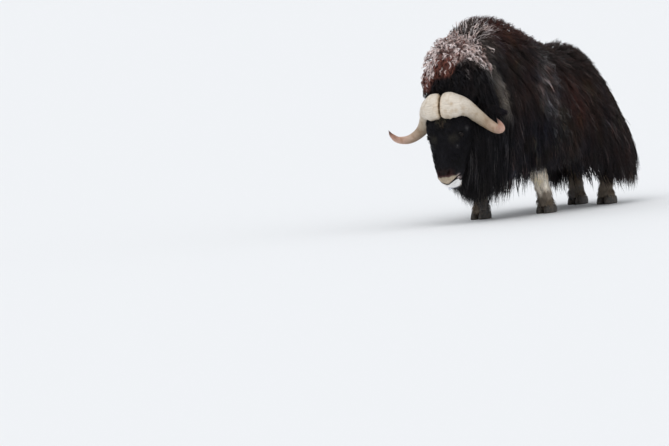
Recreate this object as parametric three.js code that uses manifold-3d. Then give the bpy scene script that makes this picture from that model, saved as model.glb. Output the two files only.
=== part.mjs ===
// A life-size bull muskox in its winter coat, standing with its head low and turned a little to its left.
// Millimetres, +Z up. The animal faces -Y and its left side is towards +X.
// It is laid out with Y = 0 midway between the fore hooves, and the finished group is then moved so that
// the origin is the middle of the base of its bounding box.

import * as THREE from "three";
import { mergeVertices } from "three/addons/utils/BufferGeometryUtils.js";
import Module from "manifold-3d";

const wasm = await Module();
wasm.setup();

// Driving dimensions

const CUT = 0.3; // width of the cuts that part one piece from the next
const TRUNK_FRONT = -300; // the plane that parts the neck from the trunk
const BEARD_TOP = 330; // the level below which the hanging throat hair is a piece of its own
const FACE_DEPTH = 150; // from the forehead back to the plane that parts the head from the neck
const CROWN_BASE = 182; // from the foot of the horn boss up to the plane that parts off the crown of mane

// The outer form of the coat from rump to throat. Each station is an upright section of the body:
// y is its place, top and bottom are the back line and the hem, widest is the level of the greatest width,
// half is half that width, ridge is 1 for a round back and 2 for one like a gable, and hem is the share
// of the width that is left at the bottom.
const COAT = [
  { at: 0.0, y: 1128, top: 400, bottom: 400, widest: 400, half: 0, ridge: 1.6, hem: 1 },
  { at: 0.04, y: 1112, top: 580, bottom: 235, widest: 330, half: 165, ridge: 1.6, hem: 1.05 },
  { at: 0.11, y: 1058, top: 810, bottom: 150, widest: 320, half: 285, ridge: 1.6, hem: 1.05 },
  { at: 0.2, y: 950, top: 983, bottom: 135, widest: 320, half: 365, ridge: 1.6, hem: 1.05 },
  { at: 0.3, y: 810, top: 1064, bottom: 150, widest: 330, half: 390, ridge: 1.26, hem: 1.03 },
  { at: 0.42, y: 620, top: 1102, bottom: 195, widest: 380, half: 392, ridge: 1.13, hem: 1 },
  { at: 0.53, y: 400, top: 1118, bottom: 240, widest: 440, half: 384, ridge: 1.1, hem: 0.98 },
  { at: 0.62, y: 210, top: 1200, bottom: 285, widest: 500, half: 380, ridge: 1.1, hem: 0.96 },
  { at: 0.71, y: 0, top: 1303, bottom: 265, widest: 540, half: 372, ridge: 1.12, hem: 0.85 },
  { at: 0.79, y: -190, top: 1340, bottom: 175, widest: 590, half: 345, ridge: 1.12, hem: 0.64 },
  { at: 0.86, y: -380, top: 1334, bottom: 125, widest: 620, half: 300, ridge: 1.1, hem: 0.44 },
  { at: 0.92, y: -530, top: 1308, bottom: 155, widest: 620, half: 250, ridge: 1.1, hem: 0.3 },
  { at: 0.96, y: -620, top: 1245, bottom: 185, widest: 620, half: 196, ridge: 1.1, hem: 0.3 },
  { at: 0.985, y: -690, top: 1120, bottom: 255, widest: 620, half: 120, ridge: 1, hem: 0.5 },
  { at: 1.0, y: -722, top: 640, bottom: 640, widest: 640, half: 0, ridge: 1, hem: 1 },
];
const SKIRT = 0.52; // under 1 lets the lower half hang straight, like a curtain

// The neck turns to the animal's left between two places, by so many degrees and so far aside.
const NECK_TURN = { from: -150, to: -800, degrees: 10, aside: 40 };

// The head hangs almost upright. Its own frame starts at the foot of the boss, in the middle of the
// forehead: x to the animal's left, y back into the head, z up the forehead.
const HEAD = { x: 40, y: -822, z: 700, yaw: 10, roll: -3 };

// The face from the top of the skull down to the chin. Each station is a level section of the head.
const FACE = [
  { at: 0.0, z: 190, front: 170, back: 170, half: 0 },
  { at: 0.07, z: 176, front: 100, back: 240, half: 80 },
  { at: 0.18, z: 130, front: 46, back: 295, half: 140 },
  { at: 0.34, z: 0, front: 0, back: 300, half: 163 },
  { at: 0.45, z: -80, front: -12, back: 290, half: 156 },
  { at: 0.56, z: -150, front: -28, back: 272, half: 140 },
  { at: 0.67, z: -225, front: -47, back: 240, half: 121 },
  { at: 0.78, z: -305, front: -63, back: 200, half: 97 },
  { at: 0.87, z: -365, front: -66, back: 165, half: 78 },
  { at: 0.93, z: -410, front: -42, back: 150, half: 58 },
  { at: 0.98, z: -444, front: 12, back: 140, half: 36 },
  { at: 1.0, z: -452, front: 72, back: 72, half: 0 },
];
const FACE_CORNERS = 0.86; // under 1 squares the level section a little

// The crown of mane that stands over the boss, in the head's frame.
const CROWN = { x: 28, y: 238, z: 230, wide: 226, deep: 196, tall: 320 };

// Each horn, in the head's frame: the path of its middle, then half its height and thickness there, and
// how far the section leans back, in degrees. It is a broad flat boss at the forehead, and goes down past
// the cheek, then out, forward and up to the tip.
const HORN = [
  { at: 0.0, x: 5, y: 36, z: 90, tall: 66, thick: 36, lean: 20 },
  { at: 0.04, x: 22, y: 34, z: 90, tall: 86, thick: 48, lean: 20 },
  { at: 0.12, x: 70, y: 42, z: 88, tall: 88, thick: 54, lean: 20 },
  { at: 0.24, x: 130, y: 92, z: 68, tall: 64, thick: 51, lean: 25 },
  { at: 0.38, x: 180, y: 158, z: 7, tall: 44, thick: 43, lean: 20 },
  { at: 0.54, x: 240, y: 196, z: -60, tall: 36, thick: 37, lean: 10 },
  { at: 0.7, x: 316, y: 172, z: -104, tall: 29, thick: 30, lean: 0 },
  { at: 0.84, x: 374, y: 112, z: -99, tall: 21.5, thick: 22, lean: 0 },
  { at: 0.94, x: 392, y: 52, z: -62, tall: 13, thick: 13, lean: 0 },
  { at: 1.0, x: 392, y: 14, z: -26, tall: 0, thick: 0, lean: 0 },
];
const HORN_CORNERS = 0.9;
const BOSS_GAP = 10; // between the flat inner ends of the two bosses

const EYE = { x: 110, y: 37, z: -107, radius: 21 };

// Each ear is a flat leaf that stands out of the mane behind the horn. The right one is laid further back.
const EAR = { y: 268, z: 22, long: 96, wide: 38, thick: 17, droop: 20 };
const EAR_SET = { left: { x: 258, back: 22 }, right: { x: 228, back: 60 } };

const TAIL = { y: 1048, z: 730, wide: 56, deep: 48, tall: 110 };

// The legs, from the hoof up to a joint inside the coat: half the width across the body, half the depth
// along it, and the share of the bow that the knee or hock puts in the leg there.
const LEG_TOP = 560;
const FORE_LEG = [
  { z: 46, wide: 50, deep: 52, bow: 0 },
  { z: 92, wide: 52, deep: 54, bow: 0 },
  { z: 150, wide: 50, deep: 51, bow: 0.2 },
  { z: 250, wide: 56, deep: 57, bow: 0.8 },
  { z: 380, wide: 68, deep: 76, bow: 1 },
  { z: LEG_TOP, wide: 86, deep: 105, bow: 0 },
];
const HIND_LEG = [
  { z: 46, wide: 50, deep: 52, bow: 0 },
  { z: 92, wide: 51, deep: 54, bow: 0 },
  { z: 160, wide: 48, deep: 54, bow: 0.35 },
  { z: 270, wide: 52, deep: 68, bow: 0.9 },
  { z: 360, wide: 62, deep: 84, bow: 1 },
  { z: LEG_TOP, wide: 96, deep: 130, bow: 0 },
];

// Where each foot stands, where its leg ends above, and how far the knee or hock is bowed back.
const LEGS = {
  fore_left: { stations: FORE_LEG, foot: [140, 180], top: [165, 20], bow: -14 },
  fore_right: { stations: FORE_LEG, foot: [-140, -180], top: [-165, -40], bow: -14 },
  hind_left: { stations: HIND_LEG, foot: [160, 872], top: [182, 772], bow: 84 },
  hind_right: { stations: HIND_LEG, foot: [-135, 965], top: [-170, 830], bow: 84 },
};

// A hoof is two claws beside a cleft. Each is a flat sole, a rounded edge, a wall that leans back as it
// rises, and a top that slopes from front to back.
const CLAW = { half: 57, cleft: 5, toe: 70, heel: 58, front: 66, back: 42, lean: 12 };
const CLAW_CORNERS = 0.8;
const CLAW_RINGS = [
  { wide: 0, low: 0, rise: 0 },
  { wide: 0.9, low: 0, rise: 0 },
  { wide: 1, low: 7, rise: 0 },
  { wide: 0.95, low: 0, rise: 0.55 },
  { wide: 0.8, low: 0, rise: 1 },
  { wide: 0, low: 0, rise: 1 },
];

// How many facets each form has round it and along it
const AROUND = { coat: 34, face: 24, horn: 14, leg: 14, claw: 14 };
const ALONG = { coat: 24, face: 20, horn: 20, leg: 11, oval: 10, ear: 8, eye: 6 };

// Shared tools

const radians = THREE.MathUtils.degToRad;
const clamped = THREE.MathUtils.clamp;
const power = (value, exponent) => Math.sign(value) * Math.abs(value) ** exponent;
const eased = (t) => t * t * (3 - 2 * t);

// All the values of a list of stations at t, on a smooth curve through them. The slope at each station is
// that of the line from the one before to the one after.
function between(stations, t, key = "at") {
  let i = 0;
  while (i < stations.length - 2 && t > stations[i + 1][key]) i++;
  const [a, b] = [stations[i], stations[i + 1]];
  const before = stations[Math.max(i - 1, 0)];
  const after = stations[Math.min(i + 2, stations.length - 1)];
  const span = b[key] - a[key];
  const s = (t - a[key]) / span;
  const found = {};
  for (const name of Object.keys(a)) {
    const slopeA = ((b[name] - before[name]) / (b[key] - before[key])) * span;
    const slopeB = ((after[name] - a[name]) / (after[key] - a[key])) * span;
    found[name] =
      (1 + 2 * s) * (1 - s) ** 2 * a[name] +
      s * (1 - s) ** 2 * slopeA +
      s * s * (3 - 2 * s) * b[name] +
      s * s * (s - 1) * slopeB;
  }
  return found;
}

// A closed form: a sphere's net whose points are moved to place(turn, along), where turn goes once round
// and along goes from one pole, 0, to the other, 1.
function closedForm(around, rows, place) {
  const net = new THREE.SphereGeometry(1, around, rows);
  const points = net.getAttribute("position");
  for (let i = 0; i < points.count; i++) {
    const row = Math.floor(i / (around + 1));
    const column = i % (around + 1);
    const at = place(((column % around) / around) * 2 * Math.PI, row / rows);
    points.setXYZ(i, at.x, at.y, at.z);
  }
  return solidOf(net);
}

const isPole = (along) => along === 0 || along === 1;

// A geometry as a solid, with its seams merged and its faces pointing out.
function solidOf(geometry) {
  const bare = new THREE.BufferGeometry();
  bare.setAttribute("position", geometry.getAttribute("position"));
  bare.setIndex(geometry.index);
  const merged = mergeVertices(bare, 1e-3);
  const corners = Array.from(merged.index.array);
  const points = merged.getAttribute("position");
  const faces = [];
  let volume = 0;
  for (let i = 0; i < corners.length; i += 3) {
    const [a, b, c] = corners.slice(i, i + 3);
    if (a === b || b === c || c === a) continue;
    faces.push([a, b, c]);
    const [p, q, r] = [a, b, c].map((n) => new THREE.Vector3().fromBufferAttribute(points, n));
    volume += p.dot(q.cross(r)) / 6;
  }
  const outward = volume > 0 ? faces : faces.map(([a, b, c]) => [a, c, b]);
  const triVerts = new Uint32Array(outward.flat());
  return new wasm.Manifold(new wasm.Mesh({ numProp: 3, vertProperties: points.array, triVerts }));
}

// An oval ball about a point
function oval(at, wide, deep, tall, rows = ALONG.oval) {
  const ball = new THREE.SphereGeometry(1, rows + 8, rows);
  return ball.scale(wide, deep, tall).translate(at.x, at.y, at.z);
}

// A block to cut with: everything beyond a plane through a point, in a direction
function beyond(point, direction) {
  const reach = 5000;
  const block = new THREE.BoxGeometry(reach, reach, reach).translate(0, 0, reach / 2);
  const turn = new THREE.Quaternion().setFromUnitVectors(new THREE.Vector3(0, 0, 1), direction);
  return solidOf(block.applyQuaternion(turn).translate(point.x, point.y, point.z));
}

// A solid parted in two by a plane, with half the cut's width taken off each side
function parted(solid, point, direction) {
  const half = direction.clone().multiplyScalar(CUT / 2);
  const far = solid.intersect(beyond(point.clone().add(half), direction));
  const near = solid.intersect(beyond(point.clone().sub(half), direction.clone().negate()));
  return { near, far };
}

const headTurn = new THREE.Matrix4()
  .makeTranslation(HEAD.x, HEAD.y, HEAD.z)
  .multiply(new THREE.Matrix4().makeRotationZ(radians(HEAD.yaw)))
  .multiply(new THREE.Matrix4().makeRotationY(radians(HEAD.roll)));
const onHead = (x, y, z) => new THREE.Vector3(x, y, z).applyMatrix4(headTurn);
const headWay = (x, y, z) => new THREE.Vector3(x, y, z).transformDirection(headTurn);

// The forms, each of them whole and still running into the others. A form with a grow is made that much
// larger all round, to cut the room for it out of its neighbour.

// The coat: an upright oval section, ridged above and hanging straight below, carried along the body
function coat() {
  return closedForm(AROUND.coat, ALONG.coat, (turn, along) => {
    const s = between(COAT, along);
    const bend = eased(clamped((s.y - NECK_TURN.from) / (NECK_TURN.to - NECK_TURN.from), 0, 1));
    const yaw = radians(NECK_TURN.degrees) * bend;
    const up = Math.cos(turn);
    const bow = up > 0 ? s.ridge : SKIRT;
    const level = power(up, bow);
    const flare = up > 0 ? 1 : 1 - (s.hem - 1) * level;
    const side = s.half * flare * power(Math.sin(turn), bow);
    const height = up > 0 ? s.top - s.widest : s.widest - s.bottom;
    return new THREE.Vector3(
      NECK_TURN.aside * bend + side * Math.cos(yaw),
      s.y + side * Math.sin(yaw),
      s.widest + height * level,
    );
  });
}

// The face: a level oval section carried from the poll down to the chin
function face(grow = 0) {
  return closedForm(AROUND.face, ALONG.face, (turn, along) => {
    const s = between(FACE, along);
    const open = isPole(along) ? 0 : grow;
    const deep = (s.back - s.front) / 2 + open;
    return onHead(
      (s.half + open) * power(Math.sin(turn), FACE_CORNERS),
      (s.front + s.back) / 2 - deep * power(Math.cos(turn), FACE_CORNERS),
      s.z + (along < 0.5 ? grow : -grow),
    );
  });
}

function crown() {
  return solidOf(oval(CROWN, CROWN.wide, CROWN.deep, CROWN.tall).applyMatrix4(headTurn));
}

// A horn: an oval section carried along the path, its long side held up along the skull, and cut off flat
// beside the gap between the two bosses
function horn(side, grow = 0) {
  const whole = closedForm(AROUND.horn, ALONG.horn, (turn, along) => {
    const t = clamped((along * ALONG.horn - 1) / (ALONG.horn - 1), 0, 1);
    const s = between(HORN, t);
    const before = between(HORN, Math.max(t - 0.01, 0));
    const after = between(HORN, Math.min(t + 0.01, 1));
    const ahead = new THREE.Vector3().subVectors(after, before).normalize();
    const up = new THREE.Vector3(0, Math.sin(radians(s.lean)), Math.cos(radians(s.lean)));
    up.addScaledVector(ahead, -up.dot(ahead)).normalize();
    const out = new THREE.Vector3().crossVectors(ahead, up);
    const open = isPole(along) ? 0 : 1;
    const point = new THREE.Vector3(s.x, s.y, s.z)
      .addScaledVector(up, open * (s.tall + grow) * power(Math.cos(turn), HORN_CORNERS))
      .addScaledVector(out, open * (s.thick + grow) * power(Math.sin(turn), HORN_CORNERS))
      .addScaledVector(ahead, along < 0.5 ? -grow : grow);
    return onHead(side * point.x, point.y, point.z);
  });
  return whole.subtract(beyond(onHead(side * (BOSS_GAP / 2 - grow), 0, 0), headWay(-side, 0, 0)));
}

function eye(side, grow = 0) {
  const radius = EYE.radius + grow;
  return solidOf(oval(onHead(side * EYE.x, EYE.y, EYE.z), radius, radius, radius, ALONG.eye));
}

// An ear, set out sideways, back and a little down
function ear(side, set, grow = 0) {
  const middle = new THREE.Vector3();
  const leaf = oval(middle, EAR.long + grow, EAR.thick + grow, EAR.wide + grow, ALONG.ear);
  leaf.rotateY(radians(side * EAR.droop));
  leaf.rotateZ(radians(side * set.back));
  leaf.translate(side * set.x, EAR.y, EAR.z);
  return solidOf(leaf.applyMatrix4(headTurn));
}

function tail(grow = 0) {
  const middle = new THREE.Vector3(0, TAIL.y, TAIL.z);
  return solidOf(oval(middle, TAIL.wide + grow, TAIL.deep + grow, TAIL.tall + grow));
}

// A leg: an oval section carried from the hoof up into the coat
function leg({ stations, foot, top, bow }) {
  const low = stations[0].z;
  return closedForm(AROUND.leg, ALONG.leg, (turn, along) => {
    const rise = clamped((along * ALONG.leg - 1) / (ALONG.leg - 2), 0, 1);
    const s = between(stations, THREE.MathUtils.lerp(low, LEG_TOP, rise), "z");
    const share = eased(s.z / LEG_TOP);
    const open = isPole(along) ? 0 : 1;
    return new THREE.Vector3(
      THREE.MathUtils.lerp(foot[0], top[0], share) + open * s.wide * Math.sin(turn),
      THREE.MathUtils.lerp(foot[1], top[1], share) + bow * s.bow + open * s.deep * Math.cos(turn),
      s.z,
    );
  });
}

// One claw of a hoof, on the side of the cleft that side gives
function claw({ foot }, side, grow = 0) {
  const last = CLAW_RINGS.length - 1;
  const half = (CLAW.half - CLAW.cleft) / 2;
  const slope = (CLAW.front - CLAW.back) / 2;
  return closedForm(AROUND.claw, last, (turn, along) => {
    const ring = CLAW_RINGS[Math.round(along * last)];
    const edge = (value, reach) => power(value, CLAW_CORNERS) * (ring.wide * reach + (ring.wide ? grow : 0));
    const ahead = Math.cos(turn);
    const height = (CLAW.front + CLAW.back) / 2 + slope * ahead * ring.wide;
    return new THREE.Vector3(
      foot[0] + side * (CLAW.cleft + half + edge(Math.sin(turn), half)),
      foot[1] - edge(ahead, ahead > 0 ? CLAW.toe : CLAW.heel) + CLAW.lean * ring.rise,
      ring.low + height * ring.rise + (along > 0.5 ? grow : -grow),
    );
  });
}

// Parting the whole into named pieces

const SIDES = { left: 1, right: -1 };
const pieces = {};

// Body and head: the trunk and the tail, then the beard, the neck, the crown and the face
function partBody() {
  const backward = new THREE.Vector3(0, 1, 0);
  const upward = new THREE.Vector3(0, 0, 1);
  const whole = coat().add(crown()).add(face());
  const body = parted(whole, new THREE.Vector3(0, TRUNK_FRONT, 0), backward);
  pieces.trunk = body.far.subtract(tail(CUT));
  pieces.tail = tail();
  const throat = parted(body.near, new THREE.Vector3(0, 0, BEARD_TOP), upward);
  pieces.beard = throat.near.subtract(face(CUT));
  const upper = parted(throat.far.add(face()), onHead(0, FACE_DEPTH, 0), headWay(0, 1, 0));
  pieces.neck = upper.far;
  const front = parted(upper.near, onHead(0, 0, CROWN_BASE), headWay(0, 0, 1));
  pieces.crown = front.far;
  pieces.head = front.near;
}

// Horns, eyes and ears, each with room cut for it in what it stands in
function partHeadgear(name, side) {
  const set = EAR_SET[name];
  for (const host of ["head", "neck", "crown", "beard"]) {
    pieces[host] = pieces[host].subtract(horn(side, CUT));
  }
  for (const host of ["head", "neck"]) {
    pieces[host] = pieces[host].subtract(ear(side, set, CUT));
  }
  pieces.head = pieces.head.subtract(eye(side, CUT));
  pieces["horn_" + name] = horn(side);
  pieces["eye_" + name] = eye(side);
  pieces["ear_" + name] = ear(side, set).subtract(horn(side, CUT));
}

// A leg up to the hem of the coat, and the two claws that it stands on
function partLeg(name, plan) {
  const outside = Math.sign(plan.foot[0]);
  let limb = leg(plan).subtract(coat().translate([0, 0, -CUT]));
  for (const [place, side] of [["outer", outside], ["inner", -outside]]) {
    pieces[`hoof_${name}_${place}`] = claw(plan, side);
    limb = limb.subtract(claw(plan, side, CUT));
  }
  pieces["leg_" + name] = limb;
}

partBody();
for (const [name, side] of Object.entries(SIDES)) partHeadgear(name, side);
for (const [name, plan] of Object.entries(LEGS)) partLeg(name, plan);

// Finishes: the coat is almost black, the crown of mane rust brown, the legs pale, the horns cream

const FINISHES = {
  crown: { color: 0x4a2b20, roughness: 0.9, metalness: 0 },
  head: { color: 0x14100f, roughness: 0.8, metalness: 0 },
  leg: { color: 0x5e5142, roughness: 0.85, metalness: 0 },
  horn: { color: 0xc9bda6, roughness: 0.55, metalness: 0 },
  hoof: { color: 0x2a2521, roughness: 0.6, metalness: 0 },
  eye: { color: 0x0d0705, roughness: 0.08, metalness: 0 },
};
const COAT_FINISH = { color: 0x1d1512, roughness: 0.85, metalness: 0 };
const finishOf = (name) => FINISHES[name.split("_")[0]] ?? COAT_FINISH;

// The largest body of a solid, without the slivers that a cut can leave
function mainBody(solid) {
  return solid.decompose().reduce((most, body) => (body.volume() > most.volume() ? body : most));
}

function meshOf(name, solid) {
  const net = mainBody(solid).getMesh();
  const geometry = new THREE.BufferGeometry();
  geometry.setAttribute("position", new THREE.BufferAttribute(net.vertProperties, 3));
  geometry.setIndex(new THREE.BufferAttribute(net.triVerts, 1));
  geometry.computeVertexNormals();
  const mesh = new THREE.Mesh(geometry, new THREE.MeshStandardMaterial(finishOf(name)));
  mesh.name = name;
  return mesh;
}

const muskox = new THREE.Group();
for (const [name, solid] of Object.entries(pieces)) muskox.add(meshOf(name, solid));

const bounds = new THREE.Box3().setFromObject(muskox);
const middle = bounds.getCenter(new THREE.Vector3());
muskox.position.set(-middle.x, -middle.y, -bounds.min.z);

export default muskox;
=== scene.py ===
# %% [markdown]
# A muskox with its long winter coat, at life size.
#
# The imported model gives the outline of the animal, out to the tips of its hair. This lesson puts a skin
# inside that outline, dresses it with thousands of small closed locks of hair, and makes the eyes, horns
# and hooves. Every shape is a formula worked out with numpy, so it can be read, changed and run again.

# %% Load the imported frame
import math

import bpy
import numpy as np
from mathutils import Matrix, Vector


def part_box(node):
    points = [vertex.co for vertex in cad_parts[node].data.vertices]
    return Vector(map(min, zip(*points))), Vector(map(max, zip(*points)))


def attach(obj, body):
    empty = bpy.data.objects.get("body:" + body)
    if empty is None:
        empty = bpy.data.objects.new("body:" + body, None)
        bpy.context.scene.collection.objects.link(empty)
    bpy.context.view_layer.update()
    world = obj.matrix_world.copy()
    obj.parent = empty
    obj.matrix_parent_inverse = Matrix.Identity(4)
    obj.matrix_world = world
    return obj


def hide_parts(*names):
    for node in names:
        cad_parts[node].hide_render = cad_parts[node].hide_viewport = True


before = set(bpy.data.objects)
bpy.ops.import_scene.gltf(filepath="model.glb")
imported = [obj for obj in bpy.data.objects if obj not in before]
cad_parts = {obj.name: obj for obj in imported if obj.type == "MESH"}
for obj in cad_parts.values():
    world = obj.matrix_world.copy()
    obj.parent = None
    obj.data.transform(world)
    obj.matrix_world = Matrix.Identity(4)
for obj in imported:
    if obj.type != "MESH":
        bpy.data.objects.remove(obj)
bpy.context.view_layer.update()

# %% [markdown]
# The forms below are laid out as the model's own drawing was: the floor at 0, the midline at 0, and the fore
# hooves midway at 0, with the head towards -Y and the animal's left towards +X. The model was then moved to
# the middle of its base. The tail is a plain oval in both, so the distance between the two is the move.

# %% From the drawing to the frame
TAIL = {"middle": (0.0, 1.048, 0.730), "half": (0.056, 0.048, 0.110)}
shift = np.mean([list(corner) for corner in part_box("tail")], axis=0) - TAIL["middle"]
print("the drawing is moved by", shift.round(4))

# %% [markdown]
# Three small tools serve every form. A signed power squares or pinches an oval. An eased step goes from 0
# to 1 without a corner. A smooth curve through a table of stations lets a few measured sections describe a
# whole body, as a boat builder draws a hull from a few ribs.

# %% Tools for curves


def power(value, exponent):
    """The size of a value raised to a power, with its sign kept."""
    return np.sign(value) * np.abs(value) ** exponent


def eased(t):
    """0 up to 1 as t goes from 0 to 1, level at both ends: 3 t squared less 2 t cubed."""
    t = np.clip(t, 0.0, 1.0)
    return t * t * (3 - 2 * t)


def bell(distance, width):
    """1 at no distance, fading to nothing on both sides: e to the minus square of distance over width."""
    return np.exp(-((distance / width) ** 2))


def unit(vectors):
    """Vectors made one long."""
    return vectors / np.maximum(np.linalg.norm(vectors, axis=-1, keepdims=True), 1e-9)


def between(stations, t):
    """The columns of a table at t, on cubic pieces. The slope at a station is that of the line from the
    station before to the one after. The first column is the key that t is looked up in."""
    t = np.asarray(t, float)
    key = stations[:, 0]
    i = np.clip(np.searchsorted(key, t) - 1, 0, len(key) - 2)
    a, b = stations[i], stations[i + 1]
    before, after = stations[np.maximum(i - 1, 0)], stations[np.minimum(i + 2, len(key) - 1)]
    span = b[..., :1] - a[..., :1]
    s = (t[..., None] - a[..., :1]) / span
    slope_a = (b - before) / (b[..., :1] - before[..., :1]) * span
    slope_b = (after - a) / (after[..., :1] - a[..., :1]) * span
    start = (1 + 2 * s) * (1 - s) ** 2 * a + s * (1 - s) ** 2 * slope_a
    end = s * s * (3 - 2 * s) * b + s * s * (s - 1) * slope_b
    return np.moveaxis((start + end)[..., 1:], -1, 0)


print("half way, eased:", float(eased(0.5)), "and a bell one width off:", round(float(bell(1, 1)), 3))

# %% [markdown]
# The camera stands far off with a long lens, as in the photograph: 35 degrees round from straight ahead,
# 3 degrees above level, and tipped by 4.5 degrees. From so far, near and far parts of the animal keep the
# same size. The target is the point of the animal at the middle of the picture.

# %% Camera
AROUND, ABOVE, TIPPED = (math.radians(angle) for angle in (35.0, 3.0, 4.5))
DISTANCE = 90.0
VIEW_WIDTH = 4.4158  # metres across the picture, at the animal
SENSOR = 36.0
ASIDE, UP = -1.1869, 0.0470  # the picture's middle, along the level right and the upright of the view

right = np.array([math.cos(AROUND), math.sin(AROUND), 0.0])
back = np.array([math.sin(AROUND) * math.cos(ABOVE), -math.cos(AROUND) * math.cos(ABOVE), math.sin(ABOVE)])
upright = np.cross(back, right)
camera_right = math.cos(TIPPED) * right - math.sin(TIPPED) * upright
camera_up = np.cross(back, camera_right)
camera_place = ASIDE * right + UP * upright + DISTANCE * back + shift

camera = bpy.data.objects.new("camera", bpy.data.cameras.new("camera"))
bpy.context.collection.objects.link(camera)
camera.data.sensor_width = SENSOR
camera.data.lens = SENSOR * DISTANCE / VIEW_WIDTH
camera.data.clip_end = 3 * DISTANCE
pose = np.eye(4)
pose[:3] = np.stack([camera_right, camera_up, back, camera_place], -1)
camera.matrix_world = pose.T.tolist()
bpy.context.scene.camera = camera
print("camera", camera_place.round(2), "with a lens of", round(camera.data.lens), "mm")

# %% [markdown]
# A bright overcast sky lights the animal from all sides, and pale ground throws light back up under its
# belly. A wide soft sun gives the form a little shade. The floor is plain and reaches past the view.

# %% Floor and light
FLOOR_SIZE = 500.0
FLOOR_GREY, FLOOR_ROUGHNESS = 0.80, 0.9
SKY = (0.93, 0.96, 1.0)
SKY_STRENGTH = 0.88
SUN_STRENGTH = 1.1
SUN_TURN = (math.radians(38), 0.0, math.radians(20))
SUN_WIDTH = math.radians(50)  # so wide that its shadows are soft

floor_material = bpy.data.materials.new("floor")
floor_material.use_nodes = True
floor_shader = floor_material.node_tree.nodes["Principled BSDF"]
floor_shader.inputs["Base Color"].default_value = (FLOOR_GREY, FLOOR_GREY, FLOOR_GREY, 1)
floor_shader.inputs["Roughness"].default_value = FLOOR_ROUGHNESS
bpy.ops.mesh.primitive_plane_add(size=FLOOR_SIZE)
floor = bpy.context.object
floor.name = "floor"
floor.data.materials.append(floor_material)

world = bpy.data.worlds.new("sky")
world.use_nodes = True
world.node_tree.nodes["Background"].inputs["Color"].default_value = (*SKY, 1)
world.node_tree.nodes["Background"].inputs["Strength"].default_value = SKY_STRENGTH
bpy.context.scene.world = world
bpy.context.scene.view_settings.view_transform = "Standard"

sun = bpy.data.objects.new("sun", bpy.data.lights.new("sun", "SUN"))
sun.data.energy = SUN_STRENGTH
sun.data.angle = SUN_WIDTH
sun.rotation_euler = SUN_TURN
bpy.context.collection.objects.link(sun)
print("floor", FLOOR_SIZE, "m wide, sky strength", SKY_STRENGTH)

# %% [markdown]
# The outline of the coat is one form from rump to throat. Each station is an upright section: where it is,
# how high its back and how low its hem are, where it is widest and how wide. Above the widest level the
# section is ridged like a roof. Below, it hangs like a curtain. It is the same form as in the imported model.

# %% The coat's outer form
COAT = np.array([
    # at, y, top, bottom, widest, half, ridge, hem
    (0.000, 1.128, 0.400, 0.400, 0.400, 0.000, 1.60, 1.00),
    (0.040, 1.112, 0.580, 0.235, 0.330, 0.165, 1.60, 1.05),
    (0.110, 1.058, 0.810, 0.150, 0.320, 0.285, 1.60, 1.05),
    (0.200, 0.950, 0.983, 0.135, 0.320, 0.365, 1.60, 1.05),
    (0.300, 0.810, 1.064, 0.150, 0.330, 0.390, 1.26, 1.03),
    (0.420, 0.620, 1.102, 0.195, 0.380, 0.392, 1.13, 1.00),
    (0.530, 0.400, 1.118, 0.240, 0.440, 0.384, 1.10, 0.98),
    (0.620, 0.210, 1.200, 0.285, 0.500, 0.380, 1.10, 0.96),
    (0.710, 0.000, 1.303, 0.265, 0.540, 0.372, 1.12, 0.85),
    (0.790, -0.190, 1.340, 0.175, 0.590, 0.345, 1.12, 0.64),
    (0.860, -0.380, 1.334, 0.125, 0.620, 0.300, 1.10, 0.44),
    (0.920, -0.530, 1.308, 0.155, 0.620, 0.250, 1.10, 0.30),
    (0.960, -0.620, 1.245, 0.185, 0.620, 0.196, 1.10, 0.30),
    (0.985, -0.690, 1.120, 0.255, 0.620, 0.120, 1.00, 0.50),
    (1.000, -0.722, 0.640, 0.640, 0.640, 0.000, 1.00, 1.00),
])
SKIRT = 0.52  # under 1 lets the lower half hang straight
NECK_FROM, NECK_TO = -0.150, -0.800  # the neck turns between these places
NECK_TURN, NECK_ASIDE = math.radians(10), 0.040


def section(stations, turn, along, skirt):
    """A point of a body's form. Turn goes once round from the back line, and along goes from rump to throat.
    The section's height is the cosine and its side the sine, each raised to the ridge or skirt power."""
    y, top, bottom, widest, half, ridge, hem = between(stations, along)
    bend = eased((y - NECK_FROM) / (NECK_TO - NECK_FROM))
    up = np.cos(turn)
    bow = np.where(up > 0, ridge, skirt)
    level = power(up, bow)
    flare = np.where(up > 0, 1.0, 1 - (hem - 1) * level)
    side = half * flare * power(np.sin(turn), bow)
    height = np.where(up > 0, top - widest, widest - bottom)
    yaw = NECK_TURN * bend
    return np.stack(
        [NECK_ASIDE * bend + side * np.cos(yaw), y + side * np.sin(yaw), widest + height * level], -1
    )


def coat_form(turn, along):
    """The outer form of the coat."""
    return section(COAT, turn, along, SKIRT)


print("the hump stands", round(float(coat_form(0.0, 0.79)[2]), 3), "m high")

# %% [markdown]
# Under the coat is a much slimmer animal. Its body is drawn with the same kind of stations, so that each
# point of the body has a partner on the coat's outer form, and a hair can be led from one to the other. The
# hair is about 5 centimetres deep on the back and up to 10 on the hump, and at the skirt it hangs far below
# the belly.

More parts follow.
